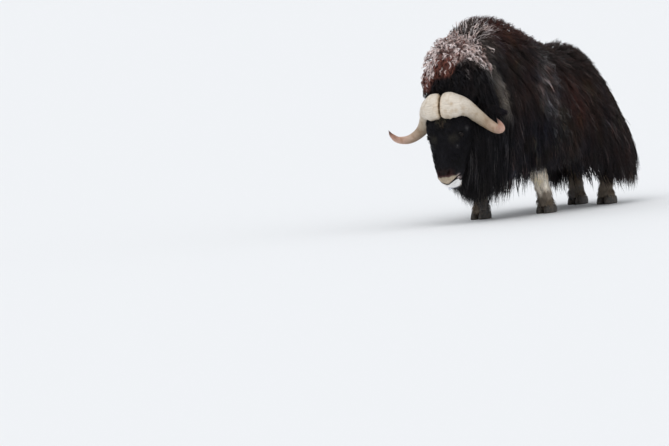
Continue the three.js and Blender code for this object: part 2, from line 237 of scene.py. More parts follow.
# %% The body inside the coat
BODY = np.array([
    (0.000, 1.050, 0.620, 0.620, 0.620, 0.000, 1.30, 1.0),
    (0.040, 1.032, 0.730, 0.500, 0.600, 0.105, 1.30, 1.0),
    (0.110, 0.985, 0.830, 0.460, 0.580, 0.195, 1.30, 1.0),
    (0.200, 0.900, 0.940, 0.460, 0.600, 0.255, 1.30, 1.0),
    (0.300, 0.790, 1.010, 0.470, 0.620, 0.280, 1.20, 1.0),
    (0.420, 0.610, 1.055, 0.470, 0.640, 0.290, 1.10, 1.0),
    (0.530, 0.400, 1.070, 0.470, 0.660, 0.290, 1.05, 1.0),
    (0.620, 0.210, 1.135, 0.480, 0.680, 0.280, 1.05, 1.0),
    (0.710, 0.000, 1.225, 0.500, 0.720, 0.260, 1.05, 1.0),
    (0.790, -0.190, 1.255, 0.500, 0.760, 0.230, 1.05, 1.0),
    (0.860, -0.370, 1.235, 0.500, 0.790, 0.200, 1.00, 1.0),
    (0.920, -0.510, 1.180, 0.480, 0.800, 0.170, 1.00, 1.0),
    (0.960, -0.590, 1.100, 0.500, 0.780, 0.135, 1.00, 1.0),
    (0.985, -0.650, 0.960, 0.540, 0.740, 0.085, 1.00, 1.0),
    (1.000, -0.680, 0.720, 0.720, 0.720, 0.000, 1.00, 1.0),
])
BELLY = 0.9  # nearly round below


def body_form(turn, along):
    """The form of the body under the coat."""
    return section(BODY, turn, along, BELLY)


TRUNK = body_form, coat_form  # hair is led from the first to the second
depth_back = np.linalg.norm(coat_form(0.0, 0.5) - body_form(0.0, 0.5))
depth_flank = np.linalg.norm(coat_form(np.pi / 2, 0.5) - body_form(np.pi / 2, 0.5))
print("coat depth, mm: back", round(depth_back * 1000), "and flank", round(depth_flank * 1000))

# %% [markdown]
# The head hangs almost upright from the neck and is turned a little. It has a frame of its own, which starts
# at the foot of the horn boss in the middle of the forehead: x to the animal's left, y back into the head
# and z up the forehead. The face is a level oval section carried from the poll down to the chin.

# %% The head's frame and outer form
HEAD_PLACE = np.array([0.040, -0.822, 0.700])
HEAD_YAW, HEAD_ROLL = math.radians(10), math.radians(-3)
FACE = np.array([
    # at, z, front, back, half
    (0.00, 0.190, 0.170, 0.170, 0.000),
    (0.07, 0.176, 0.100, 0.240, 0.080),
    (0.18, 0.130, 0.046, 0.295, 0.140),
    (0.34, 0.000, 0.000, 0.300, 0.163),
    (0.45, -0.080, -0.012, 0.290, 0.156),
    (0.56, -0.150, -0.028, 0.272, 0.140),
    (0.67, -0.225, -0.047, 0.240, 0.121),
    (0.78, -0.305, -0.063, 0.200, 0.097),
    (0.87, -0.365, -0.066, 0.165, 0.078),
    (0.93, -0.410, -0.042, 0.150, 0.058),
    (0.98, -0.444, 0.012, 0.140, 0.036),
    (1.00, -0.452, 0.072, 0.072, 0.000),
])
FACE_CORNERS = 0.86  # under 1 squares the section a little

yaw_turn = np.array([
    [math.cos(HEAD_YAW), -math.sin(HEAD_YAW), 0],
    [math.sin(HEAD_YAW), math.cos(HEAD_YAW), 0],
    [0, 0, 1],
])
roll_turn = np.array([
    [math.cos(HEAD_ROLL), 0, math.sin(HEAD_ROLL)],
    [0, 1, 0],
    [-math.sin(HEAD_ROLL), 0, math.cos(HEAD_ROLL)],
])
head_turn = yaw_turn @ roll_turn


def on_head(points):
    """Points of the head's frame, placed on the animal."""
    return points @ head_turn.T + HEAD_PLACE


def off_head(points):
    """Points of the animal, measured in the head's frame."""
    return (points - HEAD_PLACE) @ head_turn


def face_section(turn, along, inset):
    """A point of the face in the head's frame. Turn goes round from the middle of the front, along goes from
    poll to chin, and inset is how far it lies inside the outline."""
    z, front, rear, half = between(FACE, along)
    open_share = np.clip(np.minimum(along, 1 - along) / 0.02, 0, 1)
    inset = inset * open_share
    deep = (rear - front) / 2 - inset
    side = np.maximum(half - inset, 0) * power(np.sin(turn), FACE_CORNERS)
    ends = inset * (eased((along - 0.86) / 0.14) - eased((0.2 - along) / 0.2))
    return np.stack([side, (front + rear) / 2 - deep * power(np.cos(turn), FACE_CORNERS), z + ends], -1)


def face_form(turn, along):
    """The outer form of the face, out to the tips of its short hair."""
    return on_head(face_section(turn, along, 0.0))


print("the head is", round(FACE[0, 1] - FACE[-1, 1], 3), "m long")

# %% [markdown]
# A muskox has a broad face with a raised nasal bridge, eyes that stand out sideways on bony rings, a heavy
# cheek, and a hairy muzzle with comma-shaped nostrils. These could be pushed and pulled by hand in sculpt
# mode. Here each of them is a bell-shaped rise or dip added to the plain face, so every one has a name and a
# size. The mouth is a narrow groove that climbs from the front of the muzzle back to its corner.

# %% Folds of the face
EYE_MIDDLE = np.array([0.110, 0.037, -0.107])
EYE_RADIUS = 0.021
MUZZLE_MIDDLE = 0.050  # the depth of the middle of the muzzle's level section
MOUTH_LOW, MOUTH_RISE = -0.420, 0.050  # the mouth line's height in front, and how far it climbs
MOUTH_ROUND, MOUTH_END = math.radians(70), math.radians(84)  # how far round it climbs, and where it ends
NOSTRIL = (0.034, -0.346)  # x and z
MUZZLE_INSET, FOREHEAD_INSET = 0.003, 0.012


def muzzle_angle(x, y):
    """How far round the muzzle a place is from the middle of its front, on either side."""
    return np.arctan2(np.abs(x), MUZZLE_MIDDLE - y)


def mouth_level(x, y):
    """The height of the mouth line: low in front, and climbing to the corner."""
    return MOUTH_LOW + MOUTH_RISE * eased(muzzle_angle(x, y) / MOUTH_ROUND)


def eye_offset(x, y, z):
    """From the middle of the left eye to points of the head's frame, or of the right eye to theirs."""
    return np.stack([np.abs(x), y, z], -1) - EYE_MIDDLE


def eye_relief(x, y, z, front):
    """The ring of bone round the eye, the brow, the hollow in front of the eye and the folds below it."""
    from_eye = np.linalg.norm(eye_offset(x, y, z), axis=-1)
    rise = 0.007 * bell(from_eye - 0.024, 0.018)
    rise += 0.011 * bell(np.hypot((x - 0.122) / 1.5, z + 0.066), 0.022)
    rise -= 0.008 * bell(np.hypot(x - 0.078, z + 0.145), 0.018) * front
    folds = bell(from_eye - 0.043, 0.013) * eased((-0.10 - z) / 0.02)
    return rise + 0.0014 * np.sin(from_eye * 620) * folds


def mouth_relief(x, y, z):
    """The groove of the mouth between two rounded lips, and small creases behind its corner."""
    below = z - mouth_level(x, y)
    angle = muzzle_angle(x, y)
    reach = eased((MOUTH_END - angle) / 0.16)
    rise = -0.012 * bell(below, 0.0034) * reach
    rise += 0.0055 * bell(below - 0.011, 0.008) * reach
    rise += 0.0050 * bell(below + 0.014, 0.009) * reach
    creases = bell(angle - MOUTH_END - 0.10, 0.10) * bell(below + 0.004, 0.022)
    return rise + 0.0014 * np.sin(angle * 55) * creases


def nose_relief(x, z, front):
    """The nostrils, each a dark comma with a raised rim, and the furrow between them."""
    tilt = 0.35 * (z - NOSTRIL[1])
    nostril = np.hypot((x - NOSTRIL[0] - tilt) / 0.0085, (z - NOSTRIL[1]) / 0.015)
    rise = (0.0050 * bell(nostril - 1.6, 0.7) - 0.016 * bell(nostril, 0.85)) * front
    rise += 0.0030 * bell(x, 0.016) * bell(z + 0.345, 0.022) * front
    return rise - 0.0025 * bell(x, 0.003) * bell(z + 0.375, 0.020) * front


def face_relief(points):
    """How far the skin rises above the plain face at points of the head's frame, as a sum of bells."""
    x, y, z = np.abs(points[..., 0]), points[..., 1], points[..., 2]
    front = eased((0.10 - y) / 0.06)
    bridge = eased((-0.04 - z) / 0.06) * eased((z + 0.335) / 0.05)
    rise = 0.009 * bell(x, 0.034) * bridge * front
    rise -= 0.011 * bell(x - 0.072, 0.024) * bell(z + 0.225, 0.060) * front
    rise += 0.010 * bell(np.hypot(y - 0.125, z + 0.165), 0.060)
    rise -= 0.006 * bell(np.hypot(y - 0.100, z + 0.285), 0.030)
    rise += 0.005 * bell(np.hypot(x / 1.6, y - 0.03), 0.020) * eased((-0.43 - z) / 0.012)
    return rise + eye_relief(x, y, z, front) + mouth_relief(x, y, z) + nose_relief(x, z, front)


def face_skin(turn, along):
    """The skin of the face: the face's section inside its hair, moved outwards by the relief."""
    z = between(FACE, along)[0]
    inset = MUZZLE_INSET + (FOREHEAD_INSET - MUZZLE_INSET) * eased((z + 0.33) / 0.2)
    plain = face_section(turn, along, inset)
    outward = unit(np.stack([np.sin(turn), -np.cos(turn), 0 * turn], -1))
    return on_head(plain + face_relief(plain)[..., None] * outward)


HEAD = face_skin, face_form
print("the mouth climbs", MOUTH_RISE, "m from front to corner")

# %% [markdown]
# A closed form becomes a mesh as rings of points between two poles. Writing the arrays straight into the
# mesh is far quicker than adding faces one by one, and the sign of the enclosed volume shows whether the
# faces look outwards.

# %% From forms to meshes


def closed_grid(form, around, alongs):
    """Points and faces of a closed form: a ring of points for each inner value of alongs, and a pole at
    the first and the last."""
    alongs = np.asarray(alongs, float)
    turn, along = np.meshgrid(np.arange(around) * 2 * np.pi / around, alongs[1:-1])
    rings = form(turn, along).reshape(-1, 3)
    poles = form(np.zeros(2), alongs[[0, -1]])
    here = np.arange(around)
    after = (here + 1) % around
    ring = np.arange(len(alongs) - 2)[:, None] * around
    quads = np.stack([ring[:-1] + here, ring[:-1] + after, ring[1:] + after, ring[1:] + here], -1)
    first_cap = np.stack([np.full(around, len(rings)), after, here], -1)
    last_cap = np.stack([np.full(around, len(rings) + 1), ring[-1] + here, ring[-1] + after], -1)
    return outward_faces(np.concatenate([rings, poles]), [quads.reshape(-1, 4), first_cap, last_cap])


def looped_grid(form, around, across):
    """Points and faces of a form that closes on itself both ways, like a ring doughnut."""
    turn, along = np.meshgrid(np.arange(around) * 2 * np.pi / around, np.arange(across) * 2 * np.pi / across)
    points = form(turn, along).reshape(-1, 3)
    here = np.arange(around)
    after = (here + 1) % around
    ring = np.arange(across)[:, None] * around
    beyond = (ring + around) % (around * across)
    quads = np.stack([ring + here, ring + after, beyond + after, beyond + here], -1).reshape(-1, 4)
    return outward_faces(points, [quads])


def outward_faces(points, face_sets):
    """The same faces, turned over if the volume they close in comes out negative."""
    volume = 0.0
    for faces in face_sets:
        a = points[faces[:, 0]]
        for n in range(1, faces.shape[1] - 1):
            volume += np.einsum("ij,ij->", a, np.cross(points[faces[:, n]], points[faces[:, n + 1]]))
    if volume < 0:
        face_sets = [faces[:, ::-1] for faces in face_sets]
    return points, face_sets


def add_mesh(name, points, face_sets):
    """A new object with these points and faces, smooth, with its place in its mesh."""
    mesh = bpy.data.meshes.new(name)
    corners = np.concatenate([faces.ravel() for faces in face_sets]).astype(np.int32)
    sizes = np.concatenate([np.full(len(faces), faces.shape[1]) for faces in face_sets])
    mesh.vertices.add(len(points))
    mesh.vertices.foreach_set("co", (points + shift).astype(np.float32).ravel())
    mesh.loops.add(len(corners))
    mesh.loops.foreach_set("vertex_index", corners)
    mesh.polygons.add(len(sizes))
    mesh.polygons.foreach_set("loop_start", np.concatenate([[0], np.cumsum(sizes)[:-1]]).astype(np.int32))
    mesh.update(calc_edges=True)
    mesh.shade_smooth()
    piece = bpy.data.objects.new(name, mesh)
    bpy.context.collection.objects.link(piece)
    return piece


def joined_grids(grids):
    """Several sets of points and faces as one."""
    points = np.concatenate([grid[0] for grid in grids])
    starts = np.cumsum([0] + [len(grid[0]) for grid in grids[:-1]])
    faces = [part + start for grid, start in zip(grids, starts) for part in grid[1]]
    return points, faces


def point_places(mesh):
    """Where the points of a mesh are, in the drawing's frame."""
    places = np.empty(len(mesh.vertices) * 3, np.float32)
    mesh.vertices.foreach_get("co", places)
    return places.reshape(-1, 3).astype(float) - shift


print("10 rings of 16 make", len(closed_grid(face_skin, 16, np.linspace(0, 1, 12))[0]), "points")

# %% [markdown]
# The eye has lids of real thickness. An almond-shaped opening is cut out of the face as a cone from the
# middle of the eyeball, and a soft ring is laid along its edge: thin at the rim, thicker over the eye than
# below it. A ring could also be made with a curve and a bevel, but the almond lies on a ball, so a formula
# in angles from the line of sight is simpler.

# %% Lids and the opening for the eye
SIGHT = unit(np.array([0.82, -0.56, -0.06]))  # the way the left eye looks, in the head's frame
LID_LINE = np.array([0.40, 0.62, 0.22])  # from the inner to the outer corner of the eye
LID_LINE = unit(LID_LINE - SIGHT * (LID_LINE @ SIGHT))
LID_UP = np.cross(SIGHT, LID_LINE)
LID_UP = LID_UP * np.sign(LID_UP[2])
OPEN_LONG, OPEN_UPPER, OPEN_LOWER = (math.radians(angle) for angle in (50, 25, 20))
LID_THICK = 0.0026
OPENING_REACH, OPENING_SHARE = 0.050, 0.7  # how far out the cone goes, and the share of its net up to there
SIDES = {"left": 1, "right": -1}


def mirrored(points, side):
    """Points of the head's frame for the left side, 1, or the right, -1."""
    return points * np.array([side, 1, 1])


def from_eye_middle(reach, way, side):
    """Points this far from the middle of the eye on one side, this way, placed on the animal."""
    return on_head(mirrored(EYE_MIDDLE + reach[..., None] * way, side))


def sight_way(angle, aside, over):
    """Directions at an angle from the line of sight, towards shares of the lids' line and their upright."""
    ring = aside[..., None] * LID_LINE + over[..., None] * LID_UP
    return np.cos(angle)[..., None] * SIGHT + np.sin(angle)[..., None] * ring


def almond(turn, scale):
    """Directions from the eyeball's middle to an almond round the line of sight, scale times as wide."""
    tall = np.where(np.sin(turn) > 0, OPEN_UPPER, OPEN_LOWER)
    aside = OPEN_LONG * np.cos(turn) * scale
    over = tall * power(np.sin(turn), 1.25) * scale
    angle = np.maximum(np.hypot(aside, over), 1e-9)
    return sight_way(angle, aside / angle, over / angle)


def lid_form(side):
    """A ring along the almond: an oval section from the rim outwards, sunk into the skin."""
    def form(turn, across):
        thick = LID_THICK * (1 + 0.45 * np.maximum(np.sin(turn), 0))
        scale = 1.30 + 0.33 * np.cos(across)
        reach = EYE_RADIUS + 0.0002 + thick * np.sin(across) - 0.25 * thick * np.cos(across)
        return from_eye_middle(reach, almond(turn, scale), side)
    return form


def opening_form(side):
    """A cone from the eyeball's middle through the almond, closed beyond the skin."""
    def form(turn, along):
        reach = OPENING_REACH * np.clip(along / OPENING_SHARE, 0, 1)
        scale = 1 - np.clip((along - OPENING_SHARE) / (1 - OPENING_SHARE), 0, 1)
        return from_eye_middle(reach, almond(turn, scale), side)
    return form


print("the eye opens", round(2 * math.degrees(OPEN_LONG)), "degrees wide")

# %% [markdown]
# Crown, ears, tail and legs are simple forms too. The crown is the cushion of wool over the poll that
# carries the mane. An ear is a pointed leaf with a hollow front. A leg is an oval section carried from the
# hoof up into the belly, with the knee or hock bowed out of line and grooves between bone and tendon.

# %% Crown, ears, tail and legs
CROWN = {"middle": (0.028, 0.238, 0.230), "half": (0.226, 0.196, 0.320)}
CROWN_UNDER = 0.78  # the cushion of wool as a share of the crown
EAR_MIDDLE, EAR_HALF = (0.268, 0.022), (0.096, 0.017, 0.038)  # y and z, then long, thick and wide
EAR_DROOP, EAR_CUP = math.radians(20), 0.012
EARS = {"left": (0.258, math.radians(22)), "right": (0.228, math.radians(60))}  # x, and laid back by
LEG_LOW, LEG_TOP = 0.046, 0.560
FORE_LEG = np.array([
    # z, wide, deep, bow
    (0.046, 0.050, 0.052, 0.0),
    (0.092, 0.052, 0.054, 0.0),
    (0.150, 0.050, 0.051, 0.2),
    (0.250, 0.056, 0.057, 0.8),
    (0.380, 0.068, 0.076, 1.0),
    (0.560, 0.086, 0.105, 0.0),
])
HIND_LEG = np.array([
    (0.046, 0.050, 0.052, 0.00),
    (0.092, 0.051, 0.054, 0.00),
    (0.160, 0.048, 0.054, 0.35),
    (0.270, 0.052, 0.068, 0.90),
    (0.360, 0.062, 0.084, 1.00),
    (0.560, 0.096, 0.130, 0.00),
])
LEGS = {  # stations, foot, top and bow
    "fore_left": (FORE_LEG, (0.140, 0.180), (0.165, 0.020), -0.014),
    "fore_right": (FORE_LEG, (-0.140, -0.180), (-0.165, -0.040), -0.014),
    "hind_left": (HIND_LEG, (0.160, 0.872), (0.182, 0.772), 0.084),
    "hind_right": (HIND_LEG, (-0.135, 0.965), (-0.170, 0.830), 0.084),
}
LEG_INSET = 0.006
TAIL_INSIDE, EAR_INSIDE = 0.6, 0.72  # the skin of tail and ears as a share of their outer forms


def oval_form(middle, half, share=1.0):
    """An oval ball: turn goes round from the front, along from the top down."""
    def form(turn, along):
        level = np.pi * along
        way = [np.sin(level) * np.sin(turn), -np.sin(level) * np.cos(turn), np.cos(level)]
        return np.asarray(middle) + share * np.asarray(half) * np.stack(way, -1)
    return form


def crown_layer(share):
    """The crown of mane at a share of its size."""
    def form(turn, along):
        return on_head(oval_form(**CROWN, share=share)(turn, along))
    return form


def ear_form(name, share=1.0):
    """A leaf from root to tip. Its section is an oval bent into a shallow cup, narrower towards the tip."""
    side = SIDES[name]
    x, laid_back = EARS[name]
    def form(turn, along):
        long, thick, wide = EAR_HALF
        reach = -long * np.cos(np.pi * along)
        taper = power(np.sin(np.pi * along), 0.8) * (1 - 0.25 * along)
        across = share * wide * taper * np.sin(turn)
        out = share * thick * taper * np.cos(turn) * 0.8 + EAR_CUP * ((across / wide) ** 2 - 0.3) * taper
        reach = reach * (1 - 0.03 * (1 - share))
        droop = side * EAR_DROOP
        leaf_x = side * (reach * math.cos(EAR_DROOP)) + across * math.sin(droop)
        leaf_z = -reach * math.sin(EAR_DROOP) + across * math.cos(EAR_DROOP)
        turned = side * laid_back
        placed_x = leaf_x * math.cos(turned) + out * math.sin(turned) + side * x
        placed_y = leaf_x * math.sin(turned) - out * math.cos(turned) + EAR_MIDDLE[0]
        return on_head(np.stack([placed_x, placed_y, leaf_z + EAR_MIDDLE[1]], -1))
    return form


def leg_middle(name, z):
    """Where the middle of a leg is at a height, from foot to top, without its bow."""
    _, foot, top, _ = LEGS[name]
    return [low + (high - low) * eased(z / LEG_TOP) for low, high in zip(foot, top)]


def leg_form(name, inset=0.0):
    """An oval section carried up the leg. Two shallow grooves on either side part bone from tendon."""
    stations, _, _, bow = LEGS[name]
    def form(turn, along):
        z = LEG_LOW + (LEG_TOP - LEG_LOW) * np.clip((along - 0.04) / 0.92, 0, 1)
        wide, deep, bowed = between(stations, z)
        closed = np.clip(np.minimum(along, 1 - along) / 0.04, 0, 1)
        groove = 0.10 * bell(np.abs(np.cos(turn)) - 0.25, 0.18) * bell(z - 0.19, 0.07) * (inset > 0)
        size = closed * (1 - groove)
        side = (wide - inset) * np.sin(turn) * size
        ahead = (deep - inset) * np.cos(turn) * size
        middle_x, middle_y = leg_middle(name, z)
        return np.stack([middle_x + side, middle_y + bow * bowed + ahead, z], -1)
    return form


MANE = crown_layer(CROWN_UNDER), crown_layer(1.0)
print("each ear is", round(2 * EAR_HALF[0], 3), "m long, most of it in the mane")

# %% [markdown]
# One skin covers the whole animal. The separate forms are joined with Boolean modifiers, which keep the
# fine net of the face and the coarser one of the body. Voxel remeshing would also join them, but one voxel
# size can't serve both a nostril and a flank. The modifiers are applied, so only the joined mesh is left.

# %% One skin
FACE_ROWS = np.concatenate([
    np.linspace(0, 0.34, 22)[:-1], np.linspace(0.34, 0.60, 64)[:-1],
    np.linspace(0.60, 0.82, 40)[:-1], np.linspace(0.82, 1, 76),
])


def combined(piece, others, operation):
    """A piece joined with others, or with others cut out of it. The others are removed."""
    for other in others:
        step = piece.modifiers.new(operation.lower(), "BOOLEAN")
        step.operation = operation
        step.solver = "MANIFOLD"
        step.object = other
    graph = bpy.context.evaluated_depsgraph_get()
    mesh = bpy.data.meshes.new_from_object(piece.evaluated_get(graph))
    piece.modifiers.clear()
    piece.data = mesh
    for other in others:
        bpy.data.objects.remove(other)
    return piece


def form_piece(name, form, around, rows):
    """A closed form as an object."""
    alongs = rows if np.ndim(rows) else np.linspace(0, 1, rows)
    return add_mesh(name, *closed_grid(form, around, alongs))


skin = form_piece("skin", face_skin, 200, FACE_ROWS)
openings = [form_piece("opening_" + name, opening_form(side), 48, 12) for name, side in SIDES.items()]
skin = combined(skin, openings, "DIFFERENCE")
parts = [add_mesh("lid_" + name, *looped_grid(lid_form(side), 72, 20)) for name, side in SIDES.items()]
parts += [form_piece("ear_skin_" + name, ear_form(name, EAR_INSIDE), 28, 30) for name in EARS]
parts += [form_piece("leg_skin_" + name, leg_form(name, LEG_INSET), 40, 56) for name in LEGS]
parts.append(form_piece("body_skin", body_form, 88, 110))
parts.append(form_piece("crown_skin", MANE[0], 48, 40))
parts.append(form_piece("tail_skin", oval_form(**TAIL, share=TAIL_INSIDE), 20, 20))
skin = combined(skin, parts, "UNION")
skin.data.shade_smooth()
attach(skin, "root")
FLESH = ["trunk", "neck", "beard", "tail", "crown", "head"]
FLESH += ["ear_" + name for name in EARS] + ["leg_" + name for name in LEGS]
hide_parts(*FLESH)
skin.data.calc_loop_triangles()
print("skin:", len(skin.data.vertices), "points and", len(skin.data.loop_triangles), "triangles")

# %% [markdown]
# The coat is black-brown, redder along the hump and in one patch of the flank, with grey old wool behind the
# shoulder. The ruff is paler, the poll grizzled, the legs cream to brown, and the lips and chin white.
# Most markings are soft ovals, kept in two tables. Colours are linear, as light adds up.

# %% Colours
DARK = np.array([0.0112, 0.0104, 0.0122])
BROWN = np.array([0.0250, 0.0180, 0.0158])
RED = np.array([0.0560, 0.0240, 0.0190])
BLUE = np.array([0.0105, 0.0110, 0.0165])
GREY = np.array([0.4000, 0.3950, 0.4050])
RUFF = np.array([0.2800, 0.2490, 0.2080])
GRIZZLE = np.array([0.1150, 0.0950, 0.0850])
RUST = np.array([0.1900, 0.0800, 0.0640])
FROST = np.array([0.9900, 0.8800, 0.8550])
FROST_PINK = np.array([0.9300, 0.7300, 0.6600])
CREAM = np.array([0.9400, 0.8600, 0.7400])
LEG_BROWN = np.array([0.2500, 0.2080, 0.1650])
LEG_GREY = np.array([0.2400, 0.2000, 0.1600])
LEG_DARK = np.array([0.1750, 0.1320, 0.0960])
FACE_DARK = np.array([0.0064, 0.0060, 0.0078])
LIP_TAN = np.array([0.4600, 0.3800, 0.2900])
LIP_BROWN = np.array([0.0300, 0.0135, 0.0130])
LIP_WHITE = np.array([0.9500, 0.9300, 0.9200])
LIP_PINK = np.array([0.8000, 0.6600, 0.6400])
NOSE = np.array([0.0110, 0.0090, 0.0090])
OLIVE = np.array([0.0750, 0.0680, 0.0520])
BODY_PATCHES = [
    # colour, share, y, z, long, tall: soft ovals on both flanks
    (RED, 0.80, 0.34, 0.71, 0.13, 0.17),
    (BROWN, 0.90, 0.62, 0.66, 0.22, 0.24),
    (BROWN, 0.90, 0.98, 0.42, 0.20, 0.30),
    (BLUE, 0.90, -0.12, 0.50, 0.20, 0.22),
    (OLIVE, 0.22, 0.22, 0.44, 0.12, 0.14),
    (GREY, 0.07, 0.05, 0.84, 0.08, 0.18),
]
FACE_PATCHES = [
    # colour, share, x, y, z, size: soft balls in the head's frame, on both sides
    (OLIVE, 0.45, 0.078, -0.010, -0.125, 0.030),
    (GREY, 0.22, 0.095, 0.000, -0.180, 0.012),
    # painted highlight: a pale grey ball on the brow ridge, where light catches the brow
    (GREY, 0.14, 0.150, 0.074, -0.075, 0.015),
    (OLIVE, 0.35, 0.040, -0.020, -0.030, 0.022),
    # dark skin of the lids, with painted shade round the eye that stands in for the hair's self-shadow
    (NOSE * 0.35, 0.97, 0.124, 0.026, -0.107, 0.030),
    (NOSE, 1.00, 0.000, -0.070, -0.344, 0.018),
    (NOSE, 1.00, 0.034, -0.070, -0.346, 0.015),
]
LEG_TONES = {name: (LEG_DARK, LEG_BROWN) for name in LEGS}  # the colour of the upper leg, and that below it
LEG_TONES["fore_left"] = CREAM, LEG_GREY
LEG_BREAK = 0.125  # the level where the two meet
LIP_TOP = -0.368  # the upper edge of the pale upper lip, in the head's frame
LIP_END = math.radians(146)  # how far round the muzzle the white lower lip reaches
RUFF_PLACE, RUFF_WIDTH, RUFF_LEAN = -0.418, 0.060, 0.30  # y of the ruff's band, half its width, its lean
SPOT_AT, SPOT_SIZE = (math.radians(60), -0.376), 0.012  # round the muzzle and z: the pale spot over the mouth
print(len(BODY_PATCHES), "patches on the body and", len(FACE_PATCHES), "on the face")

# %% [markdown]
# Skin and hair share their markings, so both take them from one rule that gives a colour for any place on
# the animal. Each marking is a share between 0 and 1, worked out from the place, by which the colour moves
# towards another one.

# %% Markings of the body


def ruff_share(points):
    """How much pale wool of the ruff there is: a band down the side of the neck, leaning back lower down."""
    y, z = points[..., 1], points[..., 2]
    middle = RUFF_PLACE - RUFF_LEAN * np.maximum(z - 0.82, 0)
    ends = eased((z - 0.60) / 0.18) * eased((1.10 - z) / 0.22)
    ends = ends * (0.75 + 0.25 * np.sin(130 * y + 3 * np.sin(45 * z)) * np.sin(75 * z))
    flat = eased((RUFF_WIDTH - np.abs(y - middle)) / 0.055)
    return flat * ends * eased((np.abs(points[..., 0]) - 0.10) / 0.08)


def mane_zones(points):
    """Where the mane is frosted and where it is rusty, and the level of the arc that ends it on the left.

    Measured in the head's frame. It is dark over the boss and in the hollow on the left, rusty above the
    boss, and frosted on top."""
    x, y, z = np.moveaxis(off_head(points), -1, 0)
    arc = np.where(x < 0.19, 0.343 + 0.55 * (x - 0.12), 0.382 - 1.6 * (x - 0.19))
    left = eased((x - 0.08) / 0.04)
    low_edge = 0.325 + (arc - 0.325) * left - 0.09 * eased((-0.03 - x) / 0.08)
    area = eased((0.325 - y) / 0.035)
    rust = eased((z - low_edge + 0.065 * (1 - left)) / 0.03) * area
    frost = eased((z - low_edge + 0.01 - 0.050 * (1 - left)) / 0.035) * area
    frost = frost * (1 - 0.95 * bell(np.hypot(np.hypot(x - 0.14, y - 0.19), z - 0.46), 0.040))
    return frost, rust, arc


def blended(colours, other, share):
    """Colours moved towards another by a share."""
    return colours + (other - colours) * np.clip(share, 0, 1)[..., None]


def body_markings(points):
    """The colours of trunk and neck: darker below, redder on top, with the soft ovals of the table."""
    x, y, z = points[..., 0], points[..., 1], points[..., 2]
    colours = np.broadcast_to(DARK, points.shape)
    colours = blended(colours, BROWN, 0.8 * eased((z - 0.42) / 0.40) * eased((y + 0.46) / 0.14))
    colours = blended(colours, RED, 0.55 * eased((z - 1.06) / 0.14) * eased((y + 0.44) / 0.10))
    colours = blended(colours, RED, 0.35 * eased((y - 0.76) / 0.2) * eased((z - 0.50) / 0.3))
    outside = eased((np.abs(x) - 0.10) / 0.08)
    for colour, share, patch_y, patch_z, long, tall in BODY_PATCHES:
        patch = bell(np.hypot((y - patch_y) / long, (z - patch_z) / tall), 1.0)
        colours = blended(colours, colour, share * patch * outside)
    colours = blended(colours, RUFF, 0.60 * ruff_share(points))
    poll = bell(y + 0.51, 0.14) * eased((z - 0.98) / 0.12)
    colours = blended(colours, GRIZZLE, 0.85 * poll)
    frost, rust, _ = mane_zones(points)
    # The skin and roots under the mane take little frost: the dark between the locks is partly the wool's own
    # tone, partly painted shade.
    return blended(blended(colours, RUST, 0.8 * rust), FROST, 0.15 * frost)


print("back above the belly:", body_markings(coat_form(0.0, 0.5)).round(3))

# %% [markdown]
# Legs and face are laid over the body's colours, each inside its own bounds. The lips need the most care:
# a tan upper lip under a reddish brown nose, the dark line of the mouth, and a white lower lip that runs back
# below it and widens.

# %% Markings of legs and face


def leg_markings(points, colours):
    """The legs' colours, laid over others near the middle line of each leg and below the hem."""
    z = points[..., 2]
    low = eased((0.34 - z) / 0.08)
    for name, (upper, lower) in LEG_TONES.items():
        middle_x, middle_y = leg_middle(name, z)
        near = eased((0.135 - np.hypot(points[..., 0] - middle_x, points[..., 1] - middle_y)) / 0.03)
        ragged = 0.018 * np.sin(points[..., 0] * 120) + 0.014 * np.sin(points[..., 1] * 90 + 1)
        tone = blended(np.broadcast_to(lower, points.shape), upper, eased((z - LEG_BREAK - ragged) / 0.05))
        colours = blended(colours, tone, low * near)
    return colours


